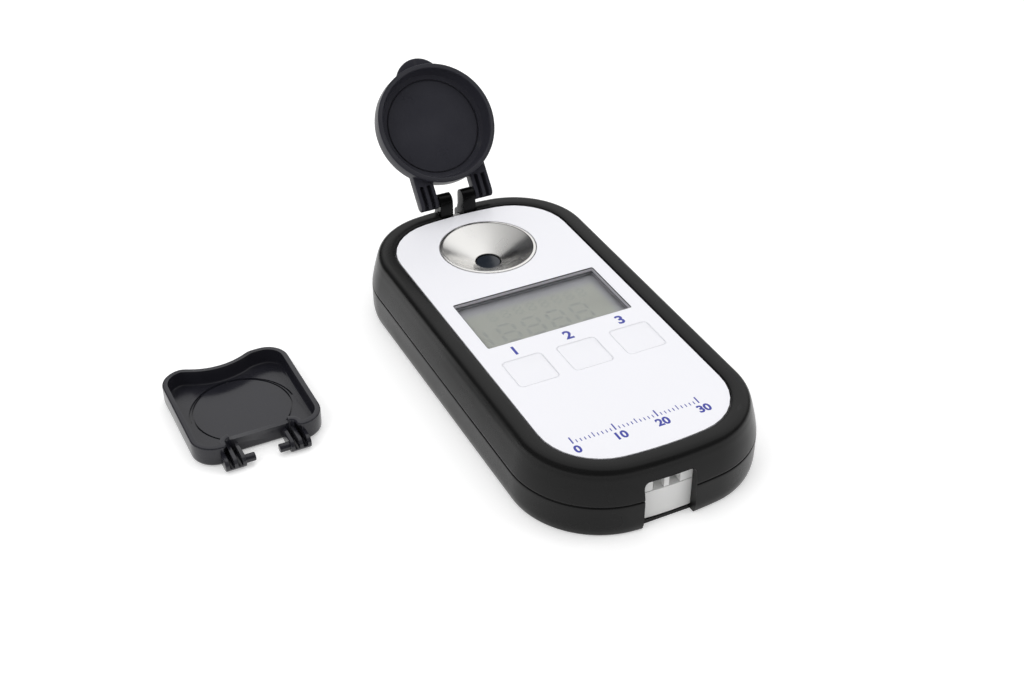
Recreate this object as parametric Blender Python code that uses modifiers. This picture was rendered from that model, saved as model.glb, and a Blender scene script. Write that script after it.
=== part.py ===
"""Pocket digital refractometer with its hinged round lid open and a second, square lid beside it.

Metres, +Z up. The origin is the middle of the underside, where the instrument rests on the table.
+Y points to the end that carries the sample well and the lid hinge, +X to the right of the display.
"""
import bpy
import bmesh
from math import atan2, cos, pi, radians, sin, sqrt

# Clearance between pieces, overrun of cuts, overlap of joined forms, and merging distance
GAP = 0.00025
OVERRUN = 0.001
BITE = 0.0005
MERGE = 0.00001

# Fineness of round shapes
CORNER_STEPS = 8
END_STEPS = 3
WIDE_STEPS = 40
ROUND_STEPS = 24
SMALL_STEPS = 12
FILLET_STEPS = 4

# Height of the face: the cell over its door, the top plate and the printed film
DOOR_INSET = 0.0002
DOOR_THICKNESS = 0.0013
CELL_RADIUS = 0.00525
CELL_PLAY = 0.0002
CELL_ROOF = 0.00055
TOP_PLATE = 0.00245
FILM_THICKNESS = 0.0005
CELL_HEIGHT = DOOR_INSET + DOOR_THICKNESS + GAP + CELL_PLAY + CELL_RADIUS
CAVITY_TOP = CELL_HEIGHT + CELL_RADIUS + CELL_ROOF
PLATEAU_TOP = CAVITY_TOP + TOP_PLATE
FILM_BOTTOM = PLATEAU_TOP + GAP
FACE_HEIGHT = FILM_BOTTOM + FILM_THICKNESS

# Width of the face, shared by three keys or by the display
FACE_HALF_WIDTH = 0.0229
KEY_MARGIN = 0.0043
KEY_SPACING = 0.00402
KEY_SIDE = 2 * (FACE_HALF_WIDTH - KEY_MARGIN - KEY_SPACING) / 3
KEY_PITCH = KEY_SIDE + KEY_SPACING
DISPLAY_MARGIN = 0.00407
DISPLAY_HALF_WIDTH = FACE_HALF_WIDTH - DISPLAY_MARGIN
DISPLAY_HALF_LENGTH = 0.00969
PANE_MARGIN = 0.0026

# Radii of the sample well, the round lid over it and the lugs that carry the lid
WELL_RADIUS = 0.012
LID_OVERLAP = 0.0036
LID_RADIUS = WELL_RADIUS + LID_OVERLAP
LUG_RADIUS = 0.00195
LID_CLEARANCE = 0.00192
LID_ARM = LID_RADIUS + LUG_RADIUS + LID_CLEARANCE

# Layout along the body, counted from the near end of the face: cell, board, keys, display, well, hinge
BAY_SETBACK = 0.0178
CELL_SIDE_PLAY = 0.00065
BAY_HALF_LENGTH = CELL_RADIUS + CELL_SIDE_PLAY
BAY_WALL = 0.0012
BOARD_CLEARANCE = 0.0028
BOARD_POST_RADIUS = 0.002
BOARD_POST_INSET_X = 0.0021
BOARD_POST_INSET_Y = 0.0025
KEY_SETBACK = 0.00563
KEYS_TO_DISPLAY = 0.00637
POST_CLEARANCE = 0.00076
BLOCK_CLEARANCE = 0.00083
BLOCK_HALF_LENGTH = 0.011
HINGE_REACH = 0.0022
BOARD_START = BAY_SETBACK + BAY_HALF_LENGTH + BAY_WALL + BOARD_CLEARANCE
KEY_PLACE = BOARD_START + BOARD_POST_INSET_Y + KEY_SETBACK
DISPLAY_PLACE = KEY_PLACE + KEY_SIDE / 2 + KEYS_TO_DISPLAY + DISPLAY_HALF_LENGTH
FAR_POST_PLACE = DISPLAY_PLACE + DISPLAY_HALF_LENGTH + PANE_MARGIN + POST_CLEARANCE + BOARD_POST_RADIUS
BOARD_END = FAR_POST_PLACE + BOARD_POST_INSET_Y
WELL_PLACE = BOARD_END + BLOCK_CLEARANCE + BLOCK_HALF_LENGTH

# Plan of the face, with round corners and slightly bowed ends; the origin is at its middle
FACE_HALF_LENGTH = (WELL_PLACE + LID_ARM - HINGE_REACH) / 2
FACE_CORNER_RADIUS = 0.01465
FACE_END_RADIUS = 0.09
BAY_Y = BAY_SETBACK - FACE_HALF_LENGTH
BOARD_NEAR_Y = BOARD_START - FACE_HALF_LENGTH
KEY_ROW_Y = KEY_PLACE - FACE_HALF_LENGTH
DISPLAY_Y = DISPLAY_PLACE - FACE_HALF_LENGTH
BOARD_FAR_Y = BOARD_END - FACE_HALF_LENGTH
WELL_Y = WELL_PLACE - FACE_HALF_LENGTH
HINGE_Y = FACE_HALF_LENGTH + HINGE_REACH

# White housing, two halves held by four screws
HOUSING_OFFSET = 0.0038
HOUSING_WALL = 0.0018
INNER_HALF_WIDTH = FACE_HALF_WIDTH + HOUSING_OFFSET - HOUSING_WALL
SHOULDER_DEPTH = 0.002
SHOULDER_TOP = FACE_HEIGHT - SHOULDER_DEPTH
PARTING_HEIGHT = 0.0084
FLANGE_THICKNESS = 0.0008
HOUSING_BOTTOM = FLANGE_THICKNESS + GAP
FLOOR_THICKNESS = 0.00155
FLOOR_TOP = HOUSING_BOTTOM + FLOOR_THICKNESS
FLANGE_OFFSET = 0.0022
BELLY_OFFSET = FLANGE_OFFSET - GAP

# Rubber boot: a swept section, given as shares of its reach and of its full height
BOOT_REACH = 0.0062
CREST_RISE = 0.0005
BOOT_HEIGHT = FACE_HEIGHT + CREST_RISE
BOOT_SKIN_SHARES = (
    (0.048, 0.985), (0.145, 0.996), (0.306, 1.000), (0.468, 0.997), (0.581, 0.985),
    (0.661, 0.964), (0.710, 0.934), (0.742, 0.898), (0.782, 0.850), (0.831, 0.778),
    (0.887, 0.695), (0.944, 0.599), (0.992, 0.500), (0.955, 0.485), (0.995, 0.473),
    (1.000, 0.389), (1.000, 0.210), (0.987, 0.114), (0.944, 0.042), (0.871, 0.000))

# Window in the boot's near end, and the lanyard eye that it shows
WINDOW_CENTRE_X = -0.00195
WINDOW_HALF_WIDTH = 0.00625
WINDOW_DROP = 0.0038
WINDOW_TOP = FACE_HEIGHT - WINDOW_DROP
WINDOW_FILLET = 0.0014
EYE_HALF_WIDTH = 0.0033
EYE_ROOF = 0.000675
EYE_TOP = CAVITY_TOP - EYE_ROOF
EYE_DEPTH = 0.0032
EYE_WALL = 0.0012
EYE_POST_HALF_WIDTH = 0.0006
EYE_POST_DEPTH = 0.0012

# Keys, snap domes and the circuit film under them
KEY_THICKNESS = 0.00065
KEY_FILLET = 0.0009
KEY_TRAVEL = 0.0004
KEY_STOP = 0.00005
KEY_BOTTOM = FACE_HEIGHT - KEY_THICKNESS
DOME_RADIUS = 0.003
DOME_RISE = 0.00035
DOME_SHEET = 0.00012
DOME_SKIN_SHARES = ((0.35, 0.93), (0.65, 0.72), (0.88, 0.40))
CIRCUIT_THICKNESS = 0.0003
CIRCUIT_SIDE_MARGIN = 0.0009
CIRCUIT_END_MARGIN = 0.00174
CIRCUIT_HALF_WIDTH = KEY_PITCH + KEY_SIDE / 2 + CIRCUIT_SIDE_MARGIN
CIRCUIT_HALF_LENGTH = KEY_SIDE / 2 + CIRCUIT_END_MARGIN
DOME_TOP = KEY_BOTTOM - KEY_TRAVEL - KEY_STOP
CIRCUIT_TOP = DOME_TOP - DOME_RISE - GAP
POCKET_FLOOR = CIRCUIT_TOP - CIRCUIT_THICKNESS - GAP
POCKET_FILLET = 0.0015
TAIL_HALF_WIDTH = 0.0025

# Display: window in the face, glass panel, frame and rubber contact strips
DISPLAY_FILLET = 0.0005
PANE_THICKNESS = 0.00065
PANE_DROP = 0.00025
PANE_TOP = PLATEAU_TOP - PANE_DROP
PANE_SEAT = PANE_TOP - PANE_THICKNESS - GAP
PANEL_MARGIN = 0.0014
PANEL_THICKNESS = 0.0017
PANEL_TOP = PANE_SEAT - GAP
FRAME_WALL = 0.0014
FRAME_HEIGHT = 0.00115

# Circuit board on four posts
BOARD_SIDE_CLEARANCE = 0.0025
BOARD_HALF_WIDTH = INNER_HALF_WIDTH - BOARD_SIDE_CLEARANCE
BOARD_TOP = PANEL_TOP - PANEL_THICKNESS - FRAME_HEIGHT - 2 * GAP
BOARD_THICKNESS = 0.0012
BOARD_FILLET = 0.0015
CHIP_SIDE = 0.008
CHIP_THICKNESS = 0.001
CHIP_X = -0.008
CHIP_SETBACK = 0.018

# Sample well, a turned steel cup with a low cone, the seal under it and the prism that closes it
WELL_PROUD = 0.0001
WELL_BRIM = 0.00058
WELL_RIM_WIDTH = 0.0007
WELL_MOUTH_RADIUS = WELL_RADIUS - WELL_RIM_WIDTH
WELL_LEDGE = 0.0014
WELL_BODY_RADIUS = WELL_RADIUS - WELL_LEDGE
WELL_BODY_LENGTH = 0.0031
WELL_FOOT_RADIUS = 0.0075
WELL_CONE_DEPTH = 0.0042
WELL_HOLE_RADIUS = 0.00327
WELL_LIP = 0.0007
WELL_CONE_BOTTOM = FACE_HEIGHT - WELL_CONE_DEPTH
WELL_FOOT = WELL_CONE_BOTTOM - WELL_LIP
SEAL_WIDTH = 0.00113
SEAL_THICKNESS = 0.0005
SEAL_TOP = WELL_FOOT - GAP
PRISM_HALF_WIDTH = 0.0045
PRISM_TOP_HALF = 0.0039
PRISM_FOOT_HALF = 0.006
PRISM_CLEARANCE = 0.0029
PRISM_FOOT = FLOOR_TOP + PRISM_CLEARANCE
PRISM_TOP = SEAL_TOP - SEAL_THICKNESS - GAP

# Black optics block with its lamp and line sensor
BLOCK_HALF_WIDTH = 0.008
PRISM_PROUD = 0.0001
BLOCK_TOP = PRISM_TOP - PRISM_PROUD
EAR_HALF_LENGTH = 0.0026
EAR_THICKNESS = 0.002
EAR_SCREW_CLEARANCE = 0.0026
EAR_SCREW_X = WELL_BODY_RADIUS + EAR_SCREW_CLEARANCE
EAR_END = 0.0022
EAR_REACH = EAR_SCREW_X + EAR_END
OPTICS_POST_RADIUS = 0.00225
LAMP_RADIUS = 0.0015
LAMP_LENGTH = 0.0034
LAMP_DROP = 0.0007
LAMP_HEIGHT = (PRISM_FOOT + PRISM_TOP) / 2 - LAMP_DROP
SENSOR_HALF_WIDTH = 0.005
SENSOR_THICKNESS = 0.0012
SENSOR_DROP = 0.0013
SENSOR_COVER = 0.0015
SENSOR_BOTTOM = PRISM_FOOT - SENSOR_DROP
SENSOR_TOP = PRISM_TOP - SENSOR_COVER

# One AAA cell lying across the near end, its contacts, and the door under it
SPRING_ROOM = 0.00285
CONTACT_ROOM = 0.00245
CELL_NUB = 0.0011
CELL_NUB_RADIUS = 0.0019
CELL_EDGE = 0.0005
CELL_LEFT_X = SPRING_ROOM - INNER_HALF_WIDTH
CELL_BODY = 2 * INNER_HALF_WIDTH - SPRING_ROOM - CONTACT_ROOM - CELL_NUB
BAY_WALL_DROP = 0.0003
BAY_WALL_TOP = PARTING_HEIGHT - BAY_WALL_DROP
CONTACT_INSET = 0.001
CONTACT_HALF_SIDE = CELL_RADIUS - CONTACT_INSET
CONTACT_SHEET = 0.0005
CONTACT_NUB_RADIUS = 0.0022
SPRING_WIRE = 0.00025
SPRING_WIDE = 0.0039
SPRING_NARROW = 0.0022
SPRING_TURNS = 3
SPRING_TURN_STEPS = 12
DOOR_MARGIN = 0.00155
DOOR_HALF_WIDTH = FACE_HALF_WIDTH + BELLY_OFFSET - DOOR_MARGIN
DOOR_SIDE_LAND = 0.0006
DOOR_END_LAND = 0.001
DOOR_HALF_LENGTH = BAY_HALF_LENGTH + DOOR_END_LAND
BAY_HALF_WIDTH = DOOR_HALF_WIDTH - DOOR_SIDE_LAND
DOOR_EDGE = 0.0003
DOOR_HINGE_INSET = 0.00065
DOOR_PIN_RADIUS = 0.0004
DOOR_PIN_LENGTH = 0.0007
DOOR_SWING = 0.0005
DOOR_NOTCH_RADIUS = 0.0045
DOOR_NOTCH_DEPTH = 0.0007

# Screws: head radius, head height, shank radius
CASE_SCREW = (0.0022, 0.0013, 0.0011)
BOARD_SCREW = (0.0015, 0.0009, 0.0007)
SLOT_HALF_WIDTH = 0.0003
SLOT_DEPTH = 0.0004
CASE_SCREW_INSET = 0.00115
CASE_SCREW_TURN = radians(48.5)
CASE_SCREW_LEDGE = 0.0029
CASE_SCREW_END = 0.001
CASE_SCREW_TIP = CAVITY_TOP - CASE_SCREW_END
LOWER_POST_RADIUS = 0.0034
UPPER_POST_RADIUS = 0.0028
POST_ROOF = 0.0004

# Hinge bracket: two lugs that stand in a notch of the boot
HINGE_RISE = 0.0038
HINGE_Z = FACE_HEIGHT + HINGE_RISE
LUG_INNER_X = 0.00145
LUG_OUTER_X = 0.0049
BRACKET_DROP = 0.0008
BRACKET_BOTTOM = PARTING_HEIGHT - BRACKET_DROP
BRACKET_THICKNESS = 0.0022
BRIDGE_DROP = 0.0028
BRACKET_BRIDGE_TOP = SHOULDER_TOP - BRIDGE_DROP
BRACKET_INNER_Y = FACE_HALF_LENGTH + HOUSING_OFFSET + GAP
BRACKET_BACK_SHARES = ((0.30, 0.42), (0.64, 0.22), (0.90, 0.03), (1.00, -0.24))
PIN_RADIUS = 0.001
PIN_LENGTH = 0.0021
BRACKET_SCREW_INSET = 0.0018
BRACKET_SCREW_X = LUG_OUTER_X - BRACKET_SCREW_INSET
BRACKET_SCREW_RISE = 0.0025
BRACKET_SCREW_Z = BRACKET_BOTTOM + BRACKET_SCREW_RISE
BRACKET_SCREW_REACH = 0.0052
BRACKET_SINK = 0.0012
ANCHOR_LENGTH = 0.0034
ANCHOR_DROP = 0.0008
ANCHOR_TOP = CAVITY_TOP - ANCHOR_DROP

# Round lid, in a frame whose origin is the hinge axis, with the lid closed towards -Y
KNUCKLE_RADIUS = 0.0016
LID_RIM = -(HINGE_RISE - GAP)
LID_TOP = KNUCKLE_RADIUS
LID_PLATE = 0.00135
LID_RIM_WIDTH = 0.0012
LID_STEP_DROP = 0.0003
LID_GROOVE_INSET = 0.0034
LID_GROOVE_RADIUS = LID_RADIUS - LID_GROOVE_INSET
LID_GROOVE_WIDTH = 0.0004
LID_GROOVE_DEPTH = 0.0004
LID_WALL_LEAN = 0.0009
LID_SHOULDER = 0.0016
LID_OPEN_ANGLE = radians(130.6)
ARM_WIDTH = 0.00485
ARM_INNER_X = LUG_OUTER_X + GAP
ARM_OUTER_X = ARM_INNER_X + ARM_WIDTH
ARM_RIB = 0.001
ARM_WEB = 0.0012
ARM_TAPER = 0.0002
ARM_ROOT = 0.001
ARM_END_Y = sqrt(LID_RADIUS ** 2 - ARM_OUTER_X ** 2) - LID_ARM - ARM_ROOT
TAB_RADIUS = 0.0063
TAB_REACH = 0.0026
TAB_TOP = 0.0011
TAB_THICKNESS = 0.0015

# Second lid: a square tray with the same hinge, lying on its back on the table
SPARE_DISTANCE = 0.042
SPARE_X = -(FACE_HALF_WIDTH + BOOT_REACH + SPARE_DISTANCE)
SPARE_Y = 0.0003
TRAY_HALF_WIDTH = 0.0152
TRAY_NEAR = 0.0018
TRAY_FAR = 0.0338
TRAY_CORNER = 0.0055
TRAY_WALL = 0.00125
TRAY_RING_Y = 0.0175
TRAY_RING_INSET = 0.0026
TRAY_RING_RADIUS = TRAY_HALF_WIDTH - TRAY_WALL - TRAY_RING_INSET
THUMB_RADIUS = 0.014
THUMB_DEPTH = 0.0024
THUMB_SHIFT = -0.001
HINGE_BAY_HALF_WIDTH = 0.0082
HINGE_BAY_DEPTH = 0.0027
HINGE_BAY_FILLET = 0.0012
HINGE_BAY_DROP = 0.0009

# Looks: colour, roughness, metallic and transmission
RUBBER = ((0.022, 0.022, 0.025), 0.42, 0.0, 0.0)
BLACK_PLASTIC = ((0.028, 0.028, 0.032), 0.35, 0.0, 0.0)
WHITE_PLASTIC = ((0.86, 0.86, 0.84), 0.40, 0.0, 0.0)
WHITE_FILM = ((0.90, 0.90, 0.93), 0.30, 0.0, 0.0)
STEEL = ((0.62, 0.62, 0.60), 0.22, 1.0, 0.0)
AMBER_FILM = ((0.60, 0.32, 0.10), 0.45, 0.0, 0.0)
PANE = ((0.95, 0.96, 0.97), 0.04, 0.0, 0.9)
PANEL = ((0.55, 0.57, 0.52), 0.25, 0.0, 0.0)
GLASS = ((0.90, 0.93, 0.96), 0.02, 0.0, 0.95)
BOARD_GREEN = ((0.05, 0.22, 0.10), 0.45, 0.0, 0.0)
CELL_JACKET = ((0.12, 0.13, 0.16), 0.30, 0.4, 0.0)


def new_collection(name):
    """A collection linked to the scene."""
    group = bpy.data.collections.new(name)
    bpy.context.scene.collection.children.link(group)
    return group


def file_under(piece, group):
    """Move an object into one collection only."""
    for other in list(piece.users_collection):
        other.objects.unlink(piece)
    group.objects.link(piece)
    return piece


def finish(piece, look):
    """File a finished piece with the parts and give it a Principled material of its own."""
    colour, roughness, metallic, transmission = look
    file_under(piece, PARTS)
    made = bpy.data.materials.new(piece.name + "_finish")
    made.use_nodes = True
    shader = made.node_tree.nodes["Principled BSDF"]
    shader.inputs["Base Color"].default_value = (*colour, 1.0)
    shader.inputs["Roughness"].default_value = roughness
    shader.inputs["Metallic"].default_value = metallic
    shader.inputs["Transmission Weight"].default_value = transmission
    made.diffuse_color = (*colour, 1.0)
    piece.data.materials.clear()
    piece.data.materials.append(made)
    return piece


def smooth(piece, angle=radians(35)):
    """Shade a round piece smooth up to a crease angle."""
    piece.data.shade_smooth()
    piece.data.set_sharp_from_angle(angle=angle)
    return piece


def box(name, low, high):
    """A cuboid between two corners."""
    bpy.ops.mesh.primitive_cube_add(size=1)
    piece = bpy.context.object
    piece.name = name
    piece.scale = [top - bottom for bottom, top in zip(low, high)]
    bpy.ops.object.transform_apply(location=False, rotation=False, scale=True)
    piece.location = [(bottom + top) / 2 for bottom, top in zip(low, high)]
    return piece


def cylinder(name, radius, bottom, top, x=0.0, y=0.0, steps=SMALL_STEPS):
    """An upright cylinder."""
    bpy.ops.mesh.primitive_cylinder_add(vertices=steps, radius=radius, depth=top - bottom,
                                        location=(x, y, (bottom + top) / 2))
    piece = bpy.context.object
    piece.name = name
    return smooth(piece)


def rod(name, radius, start, end, along, place, steps=SMALL_STEPS):
    """A cylinder along X or Y; place gives its two other coordinates in order."""
    middle = (start + end) / 2
    spots = {"X": (middle, place[0], place[1]), "Y": (place[0], middle, place[1])}
    turns = {"X": (0, pi / 2, 0), "Y": (pi / 2, 0, 0)}
    bpy.ops.mesh.primitive_cylinder_add(vertices=steps, radius=radius, depth=end - start,
                                        location=spots[along], rotation=turns[along])
    piece = bpy.context.object
    piece.name = name
    return smooth(piece)


def outline_curve(name, points):
    """A closed flat curve through the points."""
    curve = bpy.data.curves.new(name, "CURVE")
    curve.dimensions = "2D"
    curve.resolution_u = 1
    curve.render_resolution_u = 0
    spline = curve.splines.new("POLY")
    spline.points.add(len(points) - 1)
    for knot, (x, y) in zip(spline.points, points):
        knot.co = (x, y, 0, 1)
    spline.use_cyclic_u = True
    piece = bpy.data.objects.new(name, curve)
    bpy.context.scene.collection.objects.link(piece)
    return piece


def as_mesh(shape):
    """Turn a curve object into a mesh object with its caps welded on."""
    bpy.context.view_layer.update()
    graph = bpy.context.evaluated_depsgraph_get()
    mesh = bpy.data.meshes.new_from_object(shape.evaluated_get(graph))
    work = bmesh.new()
    work.from_mesh(mesh)
    bmesh.ops.remove_doubles(work, verts=work.verts, dist=MERGE)
    bmesh.ops.recalc_face_normals(work, faces=work.faces)
    work.to_mesh(mesh)
    work.free()
    name = shape.name
    place = shape.matrix_world.copy()
    bpy.data.objects.remove(shape)
    piece = bpy.data.objects.new(name, mesh)
    bpy.context.scene.collection.objects.link(piece)
    piece.matrix_world = place
    return piece


def plate(name, points, bottom, top):
    """A flat outline in XY, extruded from one height to another."""
    shape = outline_curve(name, points)
    shape.data.fill_mode = "BOTH"
    shape.data.extrude = (top - bottom) / 2
    shape.location.z = (bottom + top) / 2
    return smooth(as_mesh(shape))


def slab(name, points, left, right):
    """An outline in YZ, extruded along X from left to right."""
    shape = outline_curve(name, points)
    shape.data.fill_mode = "BOTH"
    shape.data.extrude = (right - left) / 2
    shape.location.x = (left + right) / 2
    shape.rotation_euler = (pi / 2, 0, pi / 2)
    return smooth(as_mesh(shape))


def turned(name, profile, place=(0, 0, 0), steps=ROUND_STEPS, closed=False):
    """A profile of radius and height, from the top down the outer side, turned about Z."""
    count = len(profile)
    edges = [(i, i + 1) for i in range(count - 1)]
    if closed:
        edges.append((count - 1, 0))
    mesh = bpy.data.meshes.new(name)
    mesh.from_pydata([(radius, 0, height) for radius, height in profile], edges, [])
    piece = bpy.data.objects.new(name, mesh)
    bpy.context.scene.collection.objects.link(piece)
    piece.location = place
    screw = piece.modifiers.new("turn", "SCREW")
    screw.steps = steps
    screw.render_steps = steps
    screw.use_merge_vertices = True
    screw.merge_threshold = MERGE
    return smooth(as_mesh(piece))


def set_origin(piece):
    """Move a piece's origin to the world's, while the piece stays where it is."""
    bpy.ops.object.select_all(action="DESELECT")
    piece.select_set(True)
    bpy.context.view_layer.objects.active = piece
    bpy.ops.object.transform_apply(location=True, rotation=False, scale=False)
    return piece


def hang(owner, *tools):
    """Parent tools to a piece that stands at the world origin, so that they move with it."""
    for tool in tools:
        tool.parent = owner
    return tools


def change(piece, tool, operation):
    """Cut or join with an exact Boolean; the tool is kept aside as a guide."""
    file_under(tool, TOOLS)
    tool.hide_render = True
    tool.display_type = "WIRE"
    step = piece.modifiers.new(tool.name, "BOOLEAN")
    step.operation = operation
    step.solver = "EXACT"
    step.object = tool
    return piece


def cut(piece, *tools):
    """Take tools out of a piece."""
    for tool in tools:
        change(piece, tool, "DIFFERENCE")
    return piece


def join(piece, *tools):
    """Make tools part of a piece."""
    for tool in tools:
        change(piece, tool, "UNION")
    return piece


def soften(piece, width, segments=2):
    """Round the sharp edges of a piece."""
    bevel = piece.modifiers.new("round", "BEVEL")
    bevel.width = width
    bevel.segments = segments
    bevel.limit_method = "ANGLE"
    return piece


def corner_centre():
    """Centre of the far right corner's arc in plan, which every outline of the body shares."""
    x = FACE_HALF_WIDTH - FACE_CORNER_RADIUS
    rise = sqrt((FACE_END_RADIUS - FACE_CORNER_RADIUS) ** 2 - x ** 2)
    return x, FACE_HALF_LENGTH - FACE_END_RADIUS + rise


def body_outline(offset):
    """Plan of the body, moved outward by offset: straight sides, round corners, bowed ends."""
    corner = FACE_CORNER_RADIUS + offset
    end = FACE_END_RADIUS + offset
    end_y = FACE_HALF_LENGTH - FACE_END_RADIUS
    corner_x, corner_y = corner_centre()
    meet = atan2(corner_y - end_y, corner_x)
    quarter = []
    for step in range(CORNER_STEPS + 1):
        angle = meet * step / CORNER_STEPS
        quarter.append((corner_x + corner * cos(angle), corner_y + corner * sin(angle)))
    for step in range(1, END_STEPS + 1):
        angle = meet + (pi / 2 - meet) * step / END_STEPS
        quarter.append((end * cos(angle), end_y + end * sin(angle)))
    far = quarter + [(-x, y) for x, y in reversed(quarter[:-1])]
    return far + [(-x, -y) for x, y in far]


def rounded_rectangle(half_x, half_y, radius, centre=(0, 0)):
    """A rectangle with round corners."""
    points = []
    for quadrant, (side_x, side_y) in enumerate(((1, 1), (-1, 1), (-1, -1), (1, -1))):
        for step in range(FILLET_STEPS + 1):
            angle = (quadrant + step / FILLET_STEPS) * pi / 2
            points.append((centre[0] + side_x * (half_x - radius) + radius * cos(angle),
                           centre[1] + side_y * (half_y - radius) + radius * sin(angle)))
    return points


def screw_piece(name, sizes, length):
    """A screw that points up, its head's underside at zero, with a straight slot in the head."""
    head, height, shank = sizes
    piece = turned(name, [(0, length), (shank, length - shank), (shank, 0), (head, 0),
                          (head, -height + SLOT_DEPTH / 2), (head - SLOT_DEPTH, -height), (0, -height)],
                   steps=SMALL_STEPS)
    slot = box(name + "_slot", (-head - OVERRUN, -SLOT_HALF_WIDTH, -height - OVERRUN),
               (head + OVERRUN, SLOT_HALF_WIDTH, -height + SLOT_DEPTH))
    slot.parent = piece
    return cut(piece, slot)


def key_places():
    """Name and centre of each key."""
    return (("left", -KEY_PITCH), ("centre", 0), ("right", KEY_PITCH))


def case_screw_places():
    """Plan positions of the four case screws, one inside each corner."""
    x, y = corner_centre()
    reach = FACE_CORNER_RADIUS - CASE_SCREW_INSET
    x += reach * cos(CASE_SCREW_TURN)
    y += reach * sin(CASE_SCREW_TURN)
    return [(side * x, end * y) for side in (-1, 1) for end in (-1, 1)]


def board_screw_places():
    """Plan positions of the four board screws."""
    x = BOARD_HALF_WIDTH - BOARD_POST_INSET_X
    return [(side * x, y) for side in (-1, 1)
            for y in (BOARD_NEAR_Y + BOARD_POST_INSET_Y, BOARD_FAR_Y - BOARD_POST_INSET_Y)]


def make_boot():
    """The rubber boot: one section swept round the body, with a window and a hinge notch."""
    inner = HOUSING_OFFSET + GAP
    section = [(0, SHOULDER_TOP + GAP), (0, FACE_HEIGHT)]
    section += [(BOOT_REACH * out, BOOT_HEIGHT * up) for out, up in BOOT_SKIN_SHARES]
    section += [(FLANGE_OFFSET, 0), (FLANGE_OFFSET, FLANGE_THICKNESS),
                (inner, FLANGE_THICKNESS), (inner, SHOULDER_TOP + GAP)]
    path = outline_curve("rubber_boot", body_outline(0))
    # on a flat closed path a section's +X points to the inside of the loop
    guide = outline_curve("boot_section", [(-out, up) for out, up in section])
    path.data.bevel_mode = "OBJECT"
    path.data.bevel_object = guide
    boot = smooth(as_mesh(path))
    file_under(guide, TOOLS)
    guide.hide_render = True
    near = -FACE_HALF_LENGTH
    window = box("boot_window", (WINDOW_CENTRE_X - WINDOW_HALF_WIDTH, near - BOOT_REACH - WINDOW_FILLET,
                                 -WINDOW_FILLET - OVERRUN),
                 (WINDOW_CENTRE_X + WINDOW_HALF_WIDTH, near + WINDOW_FILLET, WINDOW_TOP))
    soften(window, WINDOW_FILLET, FILLET_STEPS)
    # the flange under the housing runs on below the window
    cut(window, box("flange_keeper", (WINDOW_CENTRE_X - WINDOW_HALF_WIDTH - OVERRUN,
                                      near - HOUSING_OFFSET - GAP / 2, -WINDOW_FILLET - 2 * OVERRUN),
                    (WINDOW_CENTRE_X + WINDOW_HALF_WIDTH + OVERRUN, near + WINDOW_FILLET + OVERRUN,
                     FLANGE_THICKNESS + GAP / 2)))
    notch = box("boot_notch", (-LUG_OUTER_X - GAP, FACE_HALF_LENGTH - OVERRUN, BRACKET_BOTTOM - GAP),
                (LUG_OUTER_X + GAP, FACE_HALF_LENGTH + BOOT_REACH + OVERRUN, BOOT_HEIGHT + OVERRUN))
    return finish(cut(boot, window, notch), RUBBER)


def make_upper_housing():
    """Upper half of the white housing, with its pockets, posts and the lanyard eye."""
    bottom = PARTING_HEIGHT + GAP / 2
    shell = plate("upper_housing", body_outline(HOUSING_OFFSET), bottom, SHOULDER_TOP)
    join(shell, plate("plateau", body_outline(-GAP), SHOULDER_TOP - BITE, PLATEAU_TOP))
    cut(shell, plate("upper_cavity", body_outline(HOUSING_OFFSET - HOUSING_WALL),
                     bottom - OVERRUN, CAVITY_TOP))
    near = -FACE_HALF_LENGTH - HOUSING_OFFSET
    join(shell, box("eye_block", (WINDOW_CENTRE_X - EYE_HALF_WIDTH - EYE_WALL, near + BITE, bottom + GAP),
                    (WINDOW_CENTRE_X + EYE_HALF_WIDTH + EYE_WALL, near + EYE_DEPTH + EYE_WALL,
                     CAVITY_TOP + BITE)))
    far = FACE_HALF_LENGTH + HOUSING_OFFSET
    join(shell, box("bracket_anchor", (-LUG_OUTER_X, far - HOUSING_WALL - ANCHOR_LENGTH, bottom + GAP),
                    (LUG_OUTER_X, far - HOUSING_WALL + BITE, ANCHOR_TOP)))
    for number, (x, y) in enumerate(case_screw_places()):
        join(shell, cylinder("upper_post_%d" % number, UPPER_POST_RADIUS, bottom, CAVITY_TOP + BITE, x, y))
    for number, (x, y) in enumerate(board_screw_places()):
        join(shell, cylinder("board_post_%d" % number, BOARD_POST_RADIUS, BOARD_TOP + GAP,
                             CAVITY_TOP + BITE, x, y))
    for side in (-1, 1):
        join(shell, cylinder("optics_post_%d" % side, OPTICS_POST_RADIUS, BLOCK_TOP + GAP,
                             CAVITY_TOP + BITE, side * EAR_SCREW_X, WELL_Y))
    cut_upper_housing(shell, bottom, near, far)
    return finish(shell, WHITE_PLASTIC)


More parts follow.
